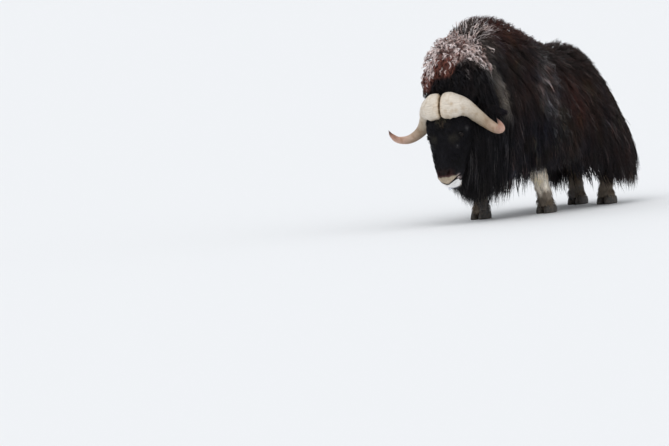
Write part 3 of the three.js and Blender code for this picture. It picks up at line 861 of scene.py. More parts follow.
def face_markings(points, colours):
    """The face's colours, laid over others in front of the neck: near black, with pale lips, dark nose."""
    head = off_head(points)
    x, y, z = np.abs(head[..., 0]), head[..., 1], head[..., 2]
    face = eased((0.17 - y) / 0.05) * eased((0.12 - z) / 0.06) * eased((z + 0.50) / 0.02)
    colours = blended(colours, FACE_DARK, face)
    angle = muzzle_angle(x, y)
    above = z - mouth_level(x, y)
    edge = LIP_TOP + 0.012 * eased(angle / MOUTH_END) + 0.0025 * np.sin(x * 160)
    ends = face * eased((MOUTH_END + 0.10 - angle) / 0.25)
    front = eased((0.85 - angle) / 0.5)
    colours = blended(colours, LIP_BROWN, 0.85 * ends * front * bell(z - edge - 0.018, 0.020))
    colours = blended(colours, LIP_BROWN * 4, 0.7 * ends * front * bell(z - edge - 0.001, 0.0035))
    tan = eased((edge - z) / 0.012) * eased((above + 0.002) / 0.004) * eased((1.15 - angle) / 0.35)
    colours = blended(colours, LIP_TAN, 0.95 * ends * tan * (1 - 0.35 * eased((angle - 0.45) / 0.35)))
    spot = bell(np.hypot(0.075 * (angle - SPOT_AT[0]), z - SPOT_AT[1]), SPOT_SIZE)
    colours = blended(colours, LIP_PINK, 0.9 * face * spot)
    colours = blended(colours, NOSE, ends * bell(above + 0.001, 0.0050) * eased((angle - 0.22) / 0.12))
    inner_lip = bell(angle - 1.5, 0.30) * bell(above + 0.018, 0.010)
    colours = blended(colours, LIP_PINK, 0.30 * face * inner_lip)
    gap = 0.003 + 0.030 * eased((angle - 0.30) / 1.50)
    white = face * eased((-gap - above) / 0.006) * eased((LIP_END - angle) / 0.35)
    colours = blended(colours, LIP_WHITE, 0.97 * white)
    # The table's balls include a painted highlight on the brow and painted shade round the eye.
    for colour, share, patch_x, patch_y, patch_z, size in FACE_PATCHES:
        wavy = 0.35 * size * np.sin(x * 2.6 / size) * np.sin(z * 2.1 / size + 1)
        off = np.sqrt((x - patch_x + wavy) ** 2 + (y - patch_y) ** 2 + (z - patch_z - wavy) ** 2)
        colours = blended(colours, colour, share * bell(off, size) * face)
    return colours


def markings(points, legs=True):
    """The colour of skin and hair at points of the drawing. The long coat goes without the legs' colours."""
    colours = body_markings(points)
    return face_markings(points, leg_markings(points, colours) if legs else colours)


def give_attribute(mesh, name, values):
    """A value or a colour stored on every point of a mesh."""
    if values.ndim == 2:
        values = np.concatenate([values, np.ones((len(values), 1))], -1)
        layer = mesh.attributes.new(name, "FLOAT_COLOR", "POINT").data
        layer.foreach_set("color", values.astype(np.float32).ravel())
    else:
        mesh.attributes.new(name, "FLOAT", "POINT").data.foreach_set("value", values.astype(np.float32))


colours = markings(point_places(skin.data))
give_attribute(skin.data, "marking", colours)
print("mean skin colour", colours.mean(0).round(4))

# %% [markdown]
# Materials are node trees. A small helper adds a node, sets its values and links its inputs, so a tree
# reads like a recipe. The others make noise, move a value to another range, and mix or multiply colours.

# %% Tools for materials


def add_node(tree, kind, settings=None, **inputs):
    """A node with its settings and inputs. An input is a value, or the output of another node."""
    node = tree.nodes.new(kind)
    for name, value in (settings or {}).items():
        setattr(node, name, value)
    for name, value in inputs.items():
        key = int(name[1:]) if name[0] == "n" and name[1:].isdigit() else name.replace("_", " ")
        socket = node.inputs[key]
        if isinstance(value, bpy.types.NodeSocket):
            tree.links.new(value, socket)
        else:
            socket.default_value = value
    return node


def new_material(name):
    """A new material, with its node tree, its shader and its Object coordinates."""
    material = bpy.data.materials.new(name)
    material.use_nodes = True
    tree = material.node_tree
    place = add_node(tree, "ShaderNodeTexCoord").outputs["Object"]
    return material, tree, tree.nodes["Principled BSDF"], place


def noise(tree, vector, scale, stretch=(1, 1, 1), detail=3.0):
    """Noise on a vector, stretched by a Mapping node."""
    mapped = add_node(tree, "ShaderNodeMapping", Vector=vector, Scale=stretch).outputs["Vector"]
    node = add_node(tree, "ShaderNodeTexNoise", Vector=mapped, Scale=scale, Detail=detail)
    return node.outputs["Fac"]


def ranged(tree, value, low, high, from_low=0.3, from_high=0.7):
    """A value moved from one range to another and kept inside it."""
    node = add_node(tree, "ShaderNodeMapRange", n0=value, n1=from_low, n2=from_high, n3=low, n4=high)
    return node.outputs[0]


def ranged_grey(tree, value, low, high, from_low=0.3, from_high=0.7):
    """A value as a grey between two brightnesses, to multiply a colour by."""
    grey = ranged(tree, value, low, high, from_low, from_high)
    return add_node(tree, "ShaderNodeCombineColor", Red=grey, Green=grey, Blue=grey).outputs[0]


def mixed(tree, share, first, second, way="MIX"):
    """Two colours mixed."""
    settings = {"data_type": "RGBA", "blend_type": way}
    return add_node(tree, "ShaderNodeMix", settings, n0=share, n6=first, n7=second).outputs[2]


def times(tree, first, second):
    """Two colours multiplied."""
    return mixed(tree, 1.0, first, second, "MULTIPLY")


def reckoned(tree, operation, *values):
    """Values put together by a sum, product or other operation."""
    inputs = {f"n{n}": value for n, value in enumerate(values)}
    return add_node(tree, "ShaderNodeMath", {"operation": operation}, **inputs).outputs[0]


def attribute(tree, name, output="Fac"):
    """An attribute stored on the mesh."""
    return add_node(tree, "ShaderNodeAttribute", {"attribute_name": name}).outputs[output]


def shaded(tree, shader, colour, roughness, shine=0.5):
    """The shader's colour and roughness, and how strongly it mirrors: 0.5 is what most things do."""
    tree.links.new(colour, shader.inputs["Base Color"])
    tree.links.new(roughness, shader.inputs["Roughness"])
    shader.inputs["Specular IOR Level"].default_value = shine


def bumped(tree, shader, height, distance, strength=1.0):
    """A bump from a height, on the shader."""
    node = add_node(tree, "ShaderNodeBump", Strength=strength, Distance=distance, Height=height)
    tree.links.new(node.outputs["Normal"], shader.inputs["Normal"])


print("noise, ranges and mixes are ready")

# %% [markdown]
# The skin takes its colour from the markings and breaks it up with noise. Its bump is noise stretched along
# the lie of short hair, which is what a flat coat looks like from close by.

# %% The skin's material


def skin_material():
    """Skin with its flat hair: markings, a little mottled, with fine streaks down the face and legs."""
    material, tree, shader, place = new_material("skin")
    streaks = noise(tree, place, 190.0, (1, 1, 0.14), 4.0)
    mottle = noise(tree, place, 16.0)
    colour = attribute(tree, "marking", "Color")
    colour = times(tree, colour, ranged_grey(tree, streaks, 0.70, 1.20))
    colour = times(tree, colour, ranged_grey(tree, mottle, 0.88, 1.12))
    shaded(tree, shader, colour, ranged(tree, streaks, 0.85, 0.6), 0.08)
    bumped(tree, shader, streaks, 0.003)
    return material


skin.data.materials.clear()
skin.data.materials.append(skin_material())
print("skin material with", len(skin.data.materials[0].node_tree.nodes), "nodes")

# %% [markdown]
# The horns grow from a broad flat boss that almost meets in the middle of the forehead. They go down past
# the cheeks, then out, forward and up. An oval section carried along a curved path gives the form, and fine
# ridges run along it, deep on the boss and fading towards the tip.

# %% Horns
HORN = np.array([
    # at, x, y, z, tall, thick, lean
    (0.00, 0.005, 0.036, 0.090, 0.066, 0.036, 20),
    (0.04, 0.022, 0.034, 0.090, 0.086, 0.048, 20),
    (0.12, 0.070, 0.042, 0.088, 0.088, 0.054, 20),
    (0.24, 0.130, 0.092, 0.068, 0.064, 0.051, 25),
    (0.38, 0.180, 0.158, 0.007, 0.044, 0.043, 20),
    (0.54, 0.240, 0.196, -0.060, 0.036, 0.037, 10),
    (0.70, 0.316, 0.172, -0.104, 0.029, 0.030, 0),
    (0.84, 0.374, 0.112, -0.099, 0.0215, 0.022, 0),
    (0.94, 0.392, 0.052, -0.062, 0.013, 0.013, 0),
    (1.00, 0.392, 0.014, -0.026, 0.000, 0.000, 0),
])
HORN_CORNERS = 0.9
BOSS_EDGE = 0.005  # half the gap between the two bosses
BOSS_END = 0.02  # the share of the horn's net that closes its inner end


def horn_form(side):
    """An oval section carried along the horn's path, its tall axis held up along the skull."""
    def form(turn, along):
        t = np.clip((along - BOSS_END) / (1 - BOSS_END), 0, 1)
        x, y, z, tall, thick, lean = between(HORN, t)
        low, high = between(HORN, np.clip(t - 0.01, 0, 1))[:3], between(HORN, np.clip(t + 0.01, 0, 1))[:3]
        ahead = unit(np.moveaxis(high - low, 0, -1))
        lean = np.radians(lean)
        up = np.stack([0 * lean, np.sin(lean), np.cos(lean)], -1)
        up = unit(up - np.einsum("...i,...i->...", up, ahead)[..., None] * ahead)
        out = np.cross(ahead, up)
        closed = np.sin(np.clip(along / BOSS_END, 0, 1) * np.pi / 2)
        ridges = np.sin(23 * turn + 9 * np.sin(5 * t)) + 0.7 * np.sin(41 * turn - 14 * t)
        rings = np.sin(60 * t + 2 * np.sin(turn))
        rough = 1 + (0.007 * (1 - t) ** 2 + 0.001) * ridges + 0.006 * (1 - t) * rings
        scallops = np.sin(70 * t + side) + 0.8 * np.sin(113 * t + 2 * side)
        rough = rough + 0.022 * scallops * bell(t - 0.12, 0.14) * np.maximum(-np.cos(turn), 0)
        over = closed * tall * rough * power(np.cos(turn), HORN_CORNERS)
        aside = closed * thick * rough * power(np.sin(turn), HORN_CORNERS)
        point = np.stack([x, y, z], -1) + over[..., None] * up + aside[..., None] * out
        wave = 0.0015 * np.sin(point[..., 2] * 150) + 0.001 * np.sin(point[..., 2] * 410 + 1)
        edge = BOSS_EDGE + wave * (t < 0.1) + 0.0015
        point[..., 0] = edge + 0.0015 * np.logaddexp(0, (point[..., 0] - edge) / 0.0015)
        return on_head(mirrored(point, side))
    return form


def ramp(tree, value, stops):
    """A colour ramp through (place, colour) stops."""
    node = add_node(tree, "ShaderNodeValToRGB", Fac=value)
    elements = node.color_ramp.elements
    elements[0].position, elements[0].color = stops[0][0], (*stops[0][1], 1)
    elements[1].position, elements[1].color = stops[-1][0], (*stops[-1][1], 1)
    for place, colour in stops[1:-1]:
        elements.new(place).color = (*colour, 1)
    return node.outputs["Color"]


def horn_material():
    """Horn: cream on the boss, olive and grey in the middle, warm and then black at the tip, with fibres
    along it, dirt in blotches and a low sheen where it is rubbed smooth."""
    material, tree, shader, place = new_material("horn")
    along = attribute(tree, "along")
    colour = ramp(tree, along, [
        (0.00, (0.30, 0.20, 0.10)), (0.030, (0.50, 0.38, 0.25)), (0.06, (0.66, 0.58, 0.48)),
        (0.20, (0.68, 0.61, 0.52)), (0.38, (0.50, 0.42, 0.32)), (0.56, (0.34, 0.25, 0.17)),
        (0.72, (0.50, 0.36, 0.27)), (0.86, (0.68, 0.43, 0.33)), (0.94, (0.56, 0.31, 0.23)),
        (0.98, (0.14, 0.07, 0.05)),
    ])
    across = add_node(tree, "ShaderNodeCombineXYZ", X=along, Y=attribute(tree, "around")).outputs[0]
    fibres = noise(tree, across, 1.0, (14, 90, 1), 5.0)
    blotches = noise(tree, place, 28.0, (1, 1, 1), 4.0)
    colour = times(tree, colour, ranged_grey(tree, fibres, 0.72, 1.12))
    cracks = noise(tree, place, 22.0, (1.0, 1.0, 0.12), 3.0)
    crack = reckoned(tree, "ABSOLUTE", reckoned(tree, "SUBTRACT", cracks, 0.5))
    on_boss = ranged(tree, along, 0.22, 0.0, 0.10, 0.30)
    cracked = reckoned(tree, "MULTIPLY", ranged(tree, crack, 1.0, 0.0, 0.0, 0.006), on_boss)
    colour = mixed(tree, cracked, colour, (0.22, 0.14, 0.07, 1))
    dirt = times(tree, colour, (0.62, 0.50, 0.36, 1))
    colour = mixed(tree, ranged(tree, blotches, 0.0, 0.65, 0.48, 0.72), colour, dirt)
    shaded(tree, shader, colour, ranged(tree, fibres, 0.62, 0.42))
    bumped(tree, shader, fibres, 0.0016, 0.8)
    return material


horn_finish = horn_material()
HORN_AROUND, HORN_ROWS = 108, 200
for name, side in SIDES.items():
    rows = np.linspace(0, 1, HORN_ROWS)
    points, faces = closed_grid(horn_form(side), HORN_AROUND, rows)
    horn = add_mesh("horn_surface_" + name, points, faces)
    give_attribute(horn.data, "along", np.append(np.repeat(rows[1:-1], HORN_AROUND), [0, 1]))
    round_it = np.abs(np.linspace(-1, 1, HORN_AROUND, endpoint=False))
    give_attribute(horn.data, "around", np.append(np.tile(round_it, HORN_ROWS - 2), [0, 0]))
    horn.data.materials.append(horn_finish)
    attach(horn, "root")
    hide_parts("horn_" + name)
    print(horn.name, len(points), "points")

# %% [markdown]
# The eyeball is a little more than a ball: the clear cornea stands out in front. The iris is dark brown with
# a pupil that lies level, as in most hoofed animals. The surface is smooth and wet over very dark colours.

# %% Eyes


def eye_form(side):
    """A ball about the line of sight, with a low dome in front. Along goes from front to rear."""
    def form(turn, along):
        angle = np.pi * along**1.3
        reach = EYE_RADIUS - 0.0010 + 0.0010 * bell(angle, 0.55)
        return from_eye_middle(reach, sight_way(angle, np.cos(turn), np.sin(turn)), side)
    return form


def eye_material():
    """A wet eye: brown iris, level black pupil and a dark white of the eye."""
    material, tree, shader, place = new_material("eye")
    aside, over = attribute(tree, "aside"), attribute(tree, "over")
    far, tall = reckoned(tree, "MULTIPLY", aside, aside), reckoned(tree, "MULTIPLY", over, over)
    iris = reckoned(tree, "ADD", far, tall)
    slot = reckoned(tree, "MULTIPLY_ADD", tall, 5.0, far)
    streaks = noise(tree, place, 320.0, (1, 1, 1), 4.0)
    share = ranged(tree, streaks, 0.0, 1.0)
    brown = mixed(tree, share, (0.006, 0.004, 0.003, 1), (0.016, 0.008, 0.005, 1))
    colour = mixed(tree, ranged(tree, iris, 0.0, 1.0, 0.30, 0.42), brown, (0.010, 0.008, 0.007, 1))
    colour = mixed(tree, ranged(tree, slot, 1.0, 0.0, 0.10, 0.15), colour, (0.003, 0.003, 0.004, 1))
    shaded(tree, shader, colour, ranged(tree, streaks, 0.03, 0.08), 0.15)
    shader.inputs["Coat Weight"].default_value = 0.02
    shader.inputs["Coat Roughness"].default_value = 0.03
    return material


eye_finish = eye_material()
EYE_AROUND, EYE_ROWS = 48, 36
for name, side in SIDES.items():
    points, faces = closed_grid(eye_form(side), EYE_AROUND, np.linspace(0, 1, EYE_ROWS))
    eye = add_mesh("eyeball_" + name, points, faces)
    local = unit(mirrored(off_head(points), side) - EYE_MIDDLE)
    behind = np.where(local @ SIGHT > 0, 0.0, 2.0)  # keeps the iris off the rear half
    give_attribute(eye.data, "aside", local @ LID_LINE + behind)
    give_attribute(eye.data, "over", local @ LID_UP)
    eye.data.materials.append(eye_finish)
    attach(eye, "root")
    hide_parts("eye_" + name)
    print(eye.name, len(points), "points")

# %% [markdown]
# A hoof is two claws beside a cleft. Each is a soft-cornered oval that leans back as it rises, with a worn
# lower edge, and growth rings parallel to its upper edge.

# %% Hooves
CLAW = {
    "half": 0.057, "cleft": 0.005, "toe": 0.070, "heel": 0.058, "front": 0.066, "back": 0.042, "lean": 0.012,
}
CLAW_CORNERS = 0.8
CLAW_EDGE = 0.12  # the share of the net that goes to the sole and its rounded edge
CLAW_LID = 0.90  # where the wall ends and the top begins


def claw_form(name, side):
    """One claw: the sole, a rounded edge, the wall with growth rings, and a top that slopes back."""
    foot = LEGS[name][1]
    half = (CLAW["half"] - CLAW["cleft"]) / 2
    slope = (CLAW["front"] - CLAW["back"]) / 2
    def form(turn, along):
        sole = np.clip(along / CLAW_EDGE, 0, 1)
        rise = np.clip((along - CLAW_EDGE) / (CLAW_LID - CLAW_EDGE), 0, 1)
        top = np.clip((along - CLAW_LID) / (1 - CLAW_LID), 0, 1)
        wall = 0.90 + 0.10 * eased(rise / 0.12)
        wall = wall - 0.05 * eased((rise - 0.1) / 0.5) - 0.14 * eased((rise - 0.5) / 0.5)
        wall = wall + 0.006 * np.sin(rise * 40) * (rise > 0.1) * (rise < 0.95)
        wide = sole * wall * np.sqrt(1 - top**2)
        height = (CLAW["front"] + CLAW["back"]) / 2 + slope * np.cos(turn) * wide
        reach = np.where(np.cos(turn) > 0, CLAW["toe"], CLAW["heel"])
        ahead = power(np.cos(turn), CLAW_CORNERS) * wide * reach
        aside = power(np.sin(turn), CLAW_CORNERS) * wide * half
        return np.stack([
            foot[0] + side * (CLAW["cleft"] + half + aside),
            foot[1] - ahead + CLAW["lean"] * rise,
            height * rise - 0.001 * top,
        ], -1)
    return form


def hoof_material():
    """Dark horn, paler and scratched where it is worn, with fine rings."""
    material, tree, shader, place = new_material("hoof")
    wear = noise(tree, place, 60.0, (1, 1, 1), 5.0)
    rings = noise(tree, place, 40.0, (1, 1, 9), 3.0)
    worn = ranged(tree, wear, 0.0, 1.0, 0.4, 0.75)
    colour = mixed(tree, worn, (0.022, 0.018, 0.015, 1), (0.11, 0.09, 0.07, 1))
    colour = times(tree, colour, ranged_grey(tree, rings, 0.7, 1.25))
    shaded(tree, shader, colour, ranged(tree, wear, 0.45, 0.75))
    bumped(tree, shader, rings, 0.0015)
    return material


hoof_finish = hoof_material()
for name, (_, foot, _, _) in LEGS.items():
    outside = 1 if foot[0] > 0 else -1
    grids = [closed_grid(claw_form(name, side), 44, np.linspace(0, 1, 40)) for side in (outside, -outside)]
    hoof = add_mesh("hoof_" + name, *joined_grids(grids))
    hoof.data.materials.append(hoof_finish)
    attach(hoof, "root")
    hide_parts(f"hoof_{name}_outer", f"hoof_{name}_inner")
    print(hoof.name, len(hoof.data.vertices), "points")

# %% [markdown]
# The coat is made of closed, three-sided, tapering spikes, each one a thin lock of hairs. Hair curves or
# particles would be simpler to make, but they can't be exported as solid mesh. First come the places where
# locks are rooted, spread over a form by its area. Then each lock is led from its root: it rises through the
# coat to the outer form, and meanwhile runs the way the hair lies, pressed along the form. Only where the
# form turns under does it hang free, so the skirt ends like a curtain.

# %% Roots and paths of the locks
STEPS = 12  # points along the middle line of a lock
NUDGE = 1e-3  # the small move that slopes are measured by
TRIES = 12  # places drawn for each one that is chosen
TURN_MOST, ALONG_MOST = 0.3, 0.05  # a step goes no further than this
PATH_ENDS = (0.004, 0.996)  # along: a path stops short of the poles of its form
SHORTEST_FALL = 0.02  # no lock's fall is made shorter than this
LOWEST_TIP = 0.017  # no short lock's middle line comes nearer to the floor than this
HORN_ROOM = 0.004  # how far the body's hair keeps from the horns
FREE_SLOPE = 0.5  # hair hangs quite free where the form's way out points down by this much
SETTLE = 2.4  # how quickly a lock rises to its layer: higher is quicker
rng = np.random.default_rng(38)


def slopes(form, turn, along):
    """How a form's point moves as turn and as along grow, and the way out of the form."""
    by_turn = (form(turn + NUDGE, along) - form(turn - NUDGE, along)) / (2 * NUDGE)
    low, high = np.clip(along - NUDGE, 0, 1), np.clip(along + NUDGE, 0, 1)
    by_along = (form(turn, high) - form(turn, low)) / (high - low)[..., None]
    return by_turn, by_along, unit(np.cross(by_along, by_turn))


def dotted(first, second):
    """The dot products of two rows of vectors."""
    return np.einsum("ij,ij->i", first, second)


def spread_roots(form, count, turns, alongs, density):
    """Places on a form, chosen at random in proportion to area times density(turn, along, point)."""
    tries = count * TRIES
    turn, along = rng.uniform(*turns, tries), rng.uniform(*alongs, tries)
    by_turn, by_along, _ = slopes(form, turn, along)
    area = np.linalg.norm(np.cross(by_turn, by_along), axis=-1)
    weight = area * density(turn, along, form(turn, along))
    pick = rng.choice(tries, count, replace=False, p=weight / weight.sum())
    return turn[pick], along[pick]


def stepped(form, turn, along, move):
    """The turn and along that lie one small move further on a form, by least squares."""
    by_turn, by_along, _ = slopes(form, turn, along)
    tt, aa = dotted(by_turn, by_turn) + 1e-5, dotted(by_along, by_along) + 1e-5
    ta, mt, ma = dotted(by_turn, by_along), dotted(move, by_turn), dotted(move, by_along)
    below = tt * aa - ta * ta + 1e-9
    turn = turn + np.clip((mt * aa - ma * ta) / below, -TURN_MOST, TURN_MOST)
    along = along + np.clip((ma * tt - mt * ta) / below, -ALONG_MOST, ALONG_MOST)
    return turn, np.clip(along, *PATH_ENDS)


def led_paths(inner, outer, turn, along, length, layer, lie, start=0.0):
    """The middle lines of locks, and the way out of the coat along them.

    A lock starts at the share start of the way from inner to outer form, and rises to the share layer,
    quickly at first. It runs on along the outer form the way that lie gives, and where that way leaves a
    form that faces down, it falls straight instead."""
    gap = np.linalg.norm(outer(turn, along) - inner(turn, along), axis=-1)
    reach = np.minimum(layer, start + 0.92 * length / np.maximum(gap, 1e-4))
    run = np.sqrt(np.maximum(length**2 - (gap * (reach - start)) ** 2, (0.15 * length) ** 2)) / STEPS
    base = inner(turn, along)
    points, ways = [base + np.reshape(start * np.ones(len(turn)), (-1, 1)) * (outer(turn, along) - base)], []
    fallen = np.zeros((len(turn), 3))
    for step in range(STEPS):
        out = slopes(outer, turn, along)[2]
        way = lie(turn, along, points[-1])
        leaving = np.maximum(dotted(way, out), 0)
        free = leaving * eased(-out[:, 2] / FREE_SLOPE)
        pressed = unit(way - dotted(way, out)[:, None] * out)
        turn, along = stepped(outer, turn, along, pressed * (run * (1 - free))[:, None])
        fallen[:, 2] -= run * free
        depth = start + (reach - start) * (1 - (1 - (step + 1) / STEPS) ** SETTLE)
        base = inner(turn, along)
        points.append(base + depth[:, None] * (outer(turn, along) - base) + fallen)
        ways.append(out)
    return np.stack(points, 1), np.stack([ways[0]] + ways, 1)


def kept_above(points, lowest):
    """Locks with their falls shortened, so that none reaches below its own lowest level."""
    drop = points[:, :1, 2] - points[:, :, 2]
    most = np.maximum(points[:, 0, 2] - lowest, SHORTEST_FALL)
    shorter = np.minimum(1, most / np.maximum(drop.max(1), 1e-6))
    points[:, :, 2] = points[:, :1, 2] - drop * shorter[:, None]
    return points


def off_horns(points, room):
    """Which locks keep out of the horns. Only the root third may lie in them, where it is hidden."""
    x, y, z, tall, thick, _ = between(HORN, np.linspace(0, 1, 40))
    head = off_head(points[:, STEPS // 3:])
    off_x, off_y = np.abs(head[..., :1]) - x, head[..., 1:2] - y
    level = np.hypot(off_x, off_y) / (thick + room)
    return np.hypot(level, (head[..., 2:] - z) / (tall + room)).min(axis=(1, 2)) > 1


def even(turn, along, point):
    """The same density everywhere."""
    return np.ones(len(turn))


print("each lock is led through", STEPS, "steps")

# %% [markdown]
# One path becomes a tuft: several spikes whose roots are spread round it and whose tips draw together, with
# the same wave or curl and lengths that differ. All spikes of a piece are built as one array. Each gets its
# own small patch on the piece's map, at the place of its root, so a picture baked through that map keeps
# each lock's own colours.

# %% Tufts
FULL = 2 * np.pi
PATCH = 0.003  # how wide and high each spike's patch is on the map


def sampled(values, position):
    """Values along paths (locks, points, 3) at positions (locks, spikes, places), which run from 0 to 1."""
    place = np.clip(position, 0, 1) * (values.shape[1] - 1)
    low = np.minimum(place.astype(int), values.shape[1] - 2)
    share = (place - low)[..., None]
    lock = np.arange(len(values))[:, None, None]
    return values[lock, low] * (1 - share) + values[lock, low + 1] * share


def tuft_points(points, ways, style):
    """The corners of every spike of every tuft: (spikes, rings, 3 corners, 3), and the tips: (spikes, 3)."""
    locks, spikes, rings = len(points), style["spikes"], style["rings"]
    ahead = unit(np.gradient(points, axis=1))
    out = unit(ways - np.einsum("ijk,ijk->ij", ways, ahead)[..., None] * ahead)
    across = np.cross(out, ahead)
    share = np.linspace(0, 1, rings + 1)[None, None, :] ** style["crowd"]
    where = share * rng.uniform(style["shortest"], 1.0, (locks, spikes, 1))
    middle = sampled(points, where)
    ahead, out, across = (sampled(values, where) for values in (ahead, out, across))
    angle = rng.uniform(0, 2 * np.pi, (locks, spikes, 1))
    far = style["spread"] * np.sqrt(rng.uniform(0, 1, (locks, spikes, 1))) * (1 - style["pinch"] * share**0.7)
    phase = 2 * np.pi * (rng.uniform(0, 1, (locks, 1, 1)) + rng.normal(0, style["stray"], (locks, spikes, 1)))
    turns = 2 * np.pi * style["waves"] * rng.uniform(0.7, 1.3, (locks, 1, 1))
    turns = turns * share ** style["tighten"] + phase
    swing = style["wave"] * np.minimum(1, share * 2.5) * rng.uniform(0.5, 1.4, (locks, 1, 1))
    aside = far * np.cos(angle) + swing * (np.sin(turns) - np.sin(phase))
    lift = rng.normal(0, style["lift"], (locks, spikes, 1)) * share
    lift = lift + style["curl"] * swing * (np.cos(turns) - np.cos(phase))
    along = far * np.sin(angle)
    middle = middle + aside[..., None] * across + along[..., None] * ahead + lift[..., None] * out
    taper = (1 - share**1.6) * (0.6 + 0.4 * np.minimum(1, share * 6))
    width = style["width"] * rng.uniform(0.7, 1.25, (locks, spikes, 1)) * taper
    corner = np.radians([-90, 30, 150])
    ring = across[..., None, :] * np.cos(corner)[:, None] + 0.7 * out[..., None, :] * np.sin(corner)[:, None]
    corners = middle[..., None, :] + width[..., None, None] * ring
    return corners[:, :, :-1].reshape(-1, rings, 3, 3), middle[:, :, -1].reshape(-1, 3)


def spike_faces(count, rings):
    """Triangles of closed spikes whose corners are numbered ring by ring, with the tip last."""
    here, after = np.arange(3), (np.arange(3) + 1) % 3
    ring = 3 * np.arange(rings - 1)[:, None]
    lower = np.stack([ring + here, ring + after, ring + 3 + after], -1).reshape(-1, 3)
    upper = np.stack([ring + here, ring + 3 + after, ring + 3 + here], -1).reshape(-1, 3)
    last = 3 * (rings - 1)
    tip = np.stack([last + here, last + after, np.full(3, 3 * rings)], -1)
    root = np.array([[0, 2, 1]])
    one = np.concatenate([lower, upper, tip, root])
    return (one[None] + (3 * rings + 1) * np.arange(count)[:, None, None]).reshape(-1, 3), one


def patch_corners(one, rings):
    """Where each corner of each triangle of a spike lies in its patch: round it across, and along it up."""
    round_it = np.where(one == 3 * rings, 0, one % 3)
    wraps = (round_it.max(1) - round_it.min(1) == 2)[:, None] & (round_it == 0) & (one < 3 * rings)
    round_it = round_it + 3 * wraps
    tip_round = round_it.sum(1, keepdims=True) / 2
    round_it = np.where(one == 3 * rings, tip_round, round_it)
    up = np.minimum(one // 3, rings) / rings
    patch = np.stack([round_it / 3, up], -1)
    patch[-1] = [(0, 0), (1, 0), (0.5, 0.12)]
    return PATCH * patch


def add_tufts(name, points, ways, style, unwrap, hair, slot, frost=0.0, tint=None):
    """One coat piece: its mesh, its map and its attributes. frost is how pale the tips of each lock are, and
    tint is a colour and how far each lock's markings move towards it."""
    corners, tips = tuft_points(points, ways, style)
    spikes, rings = style["spikes"], style["rings"]
    count, per_spike = len(tips), 3 * rings + 1
    body = np.concatenate([corners.reshape(count, -1, 3), tips[:, None]], 1)
    faces, one = spike_faces(count, rings)
    piece = add_mesh(name, body.reshape(-1, 3), [faces])
    mesh = piece.data
    spot = np.repeat(np.stack(unwrap, -1), spikes, axis=0) + rng.uniform(-PATCH, PATCH, (count, 2))
    map_corners = np.clip(spot, 0.004, 0.992)[:, None, None] + patch_corners(one, rings)[None]
    mesh.uv_layers.new(name="OFBake").data.foreach_set("uv", map_corners.astype(np.float32).ravel())
    up = np.append(np.repeat(np.arange(rings), 3), rings) / rings
    chance = 0.5 * np.repeat(rng.uniform(0, 1, len(points)), spikes) + 0.5 * rng.uniform(0, 1, count)
    give_attribute(mesh, "up", np.tile(up, count))
    give_attribute(mesh, "chance", np.repeat(chance, per_spike))
    give_attribute(mesh, "frost", np.repeat(np.broadcast_to(frost, len(points)), spikes * per_spike))
    colours = markings(body, legs=slot == "leg")
    if tint is not None:
        colours = blended(colours, tint[0], np.repeat(tint[1], spikes)[:, None] * np.ones(per_spike))
    give_attribute(mesh, "marking", colours.reshape(-1, 3))
    mesh.materials.append(hair)
    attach(piece, "root")
    print(f"{name}: {count} spikes, {len(faces)} triangles")


def unwrapped(turn, along, turns, alongs):
    """Places on the map of a form: along it to the right, and round it upwards."""
    return (along - alongs[0]) / (alongs[1] - alongs[0]), (turn - turns[0]) / (turns[1] - turns[0])


def lock_piece(name, forms, count, alongs, lengths, layers, lie, style, hair, slot,
               turns=(0, FULL), start=0.0, hem=None, tint=None):
    """A coat piece of locks spread evenly between an inner and an outer form. hem gives each lock's lowest
    level from its along, and tint gives a colour and shares from the locks' paths."""
    inner, outer = forms
    turn, along = spread_roots(inner, count, turns, alongs, even)
    length, layer = rng.uniform(*lengths, count), rng.uniform(*layers, count)
    points, ways = led_paths(inner, outer, turn, along, length, layer, lie, start)
    points = kept_above(points, hem(along) if hem else LOWEST_TIP)
    tint = tint(points) if tint else None
    add_tufts(name, points, ways, style, unwrapped(turn, along, turns, alongs), hair, slot, tint=tint)


print("a spike with 5 rings has", len(spike_faces(1, 5)[0]), "triangles")

# %% [markdown]
# Hair is darker at the root and bleached at the tip; the darker root is partly painted shade deep in the
# coat. Each lock also differs a little from its neighbours in lightness and warmth. The material reads the
# markings and these two things from the mesh, so it needs no picture. The frost value lets the same recipe
# whiten the locks of the crown, some of them faintly pink.

# %% The coat's material


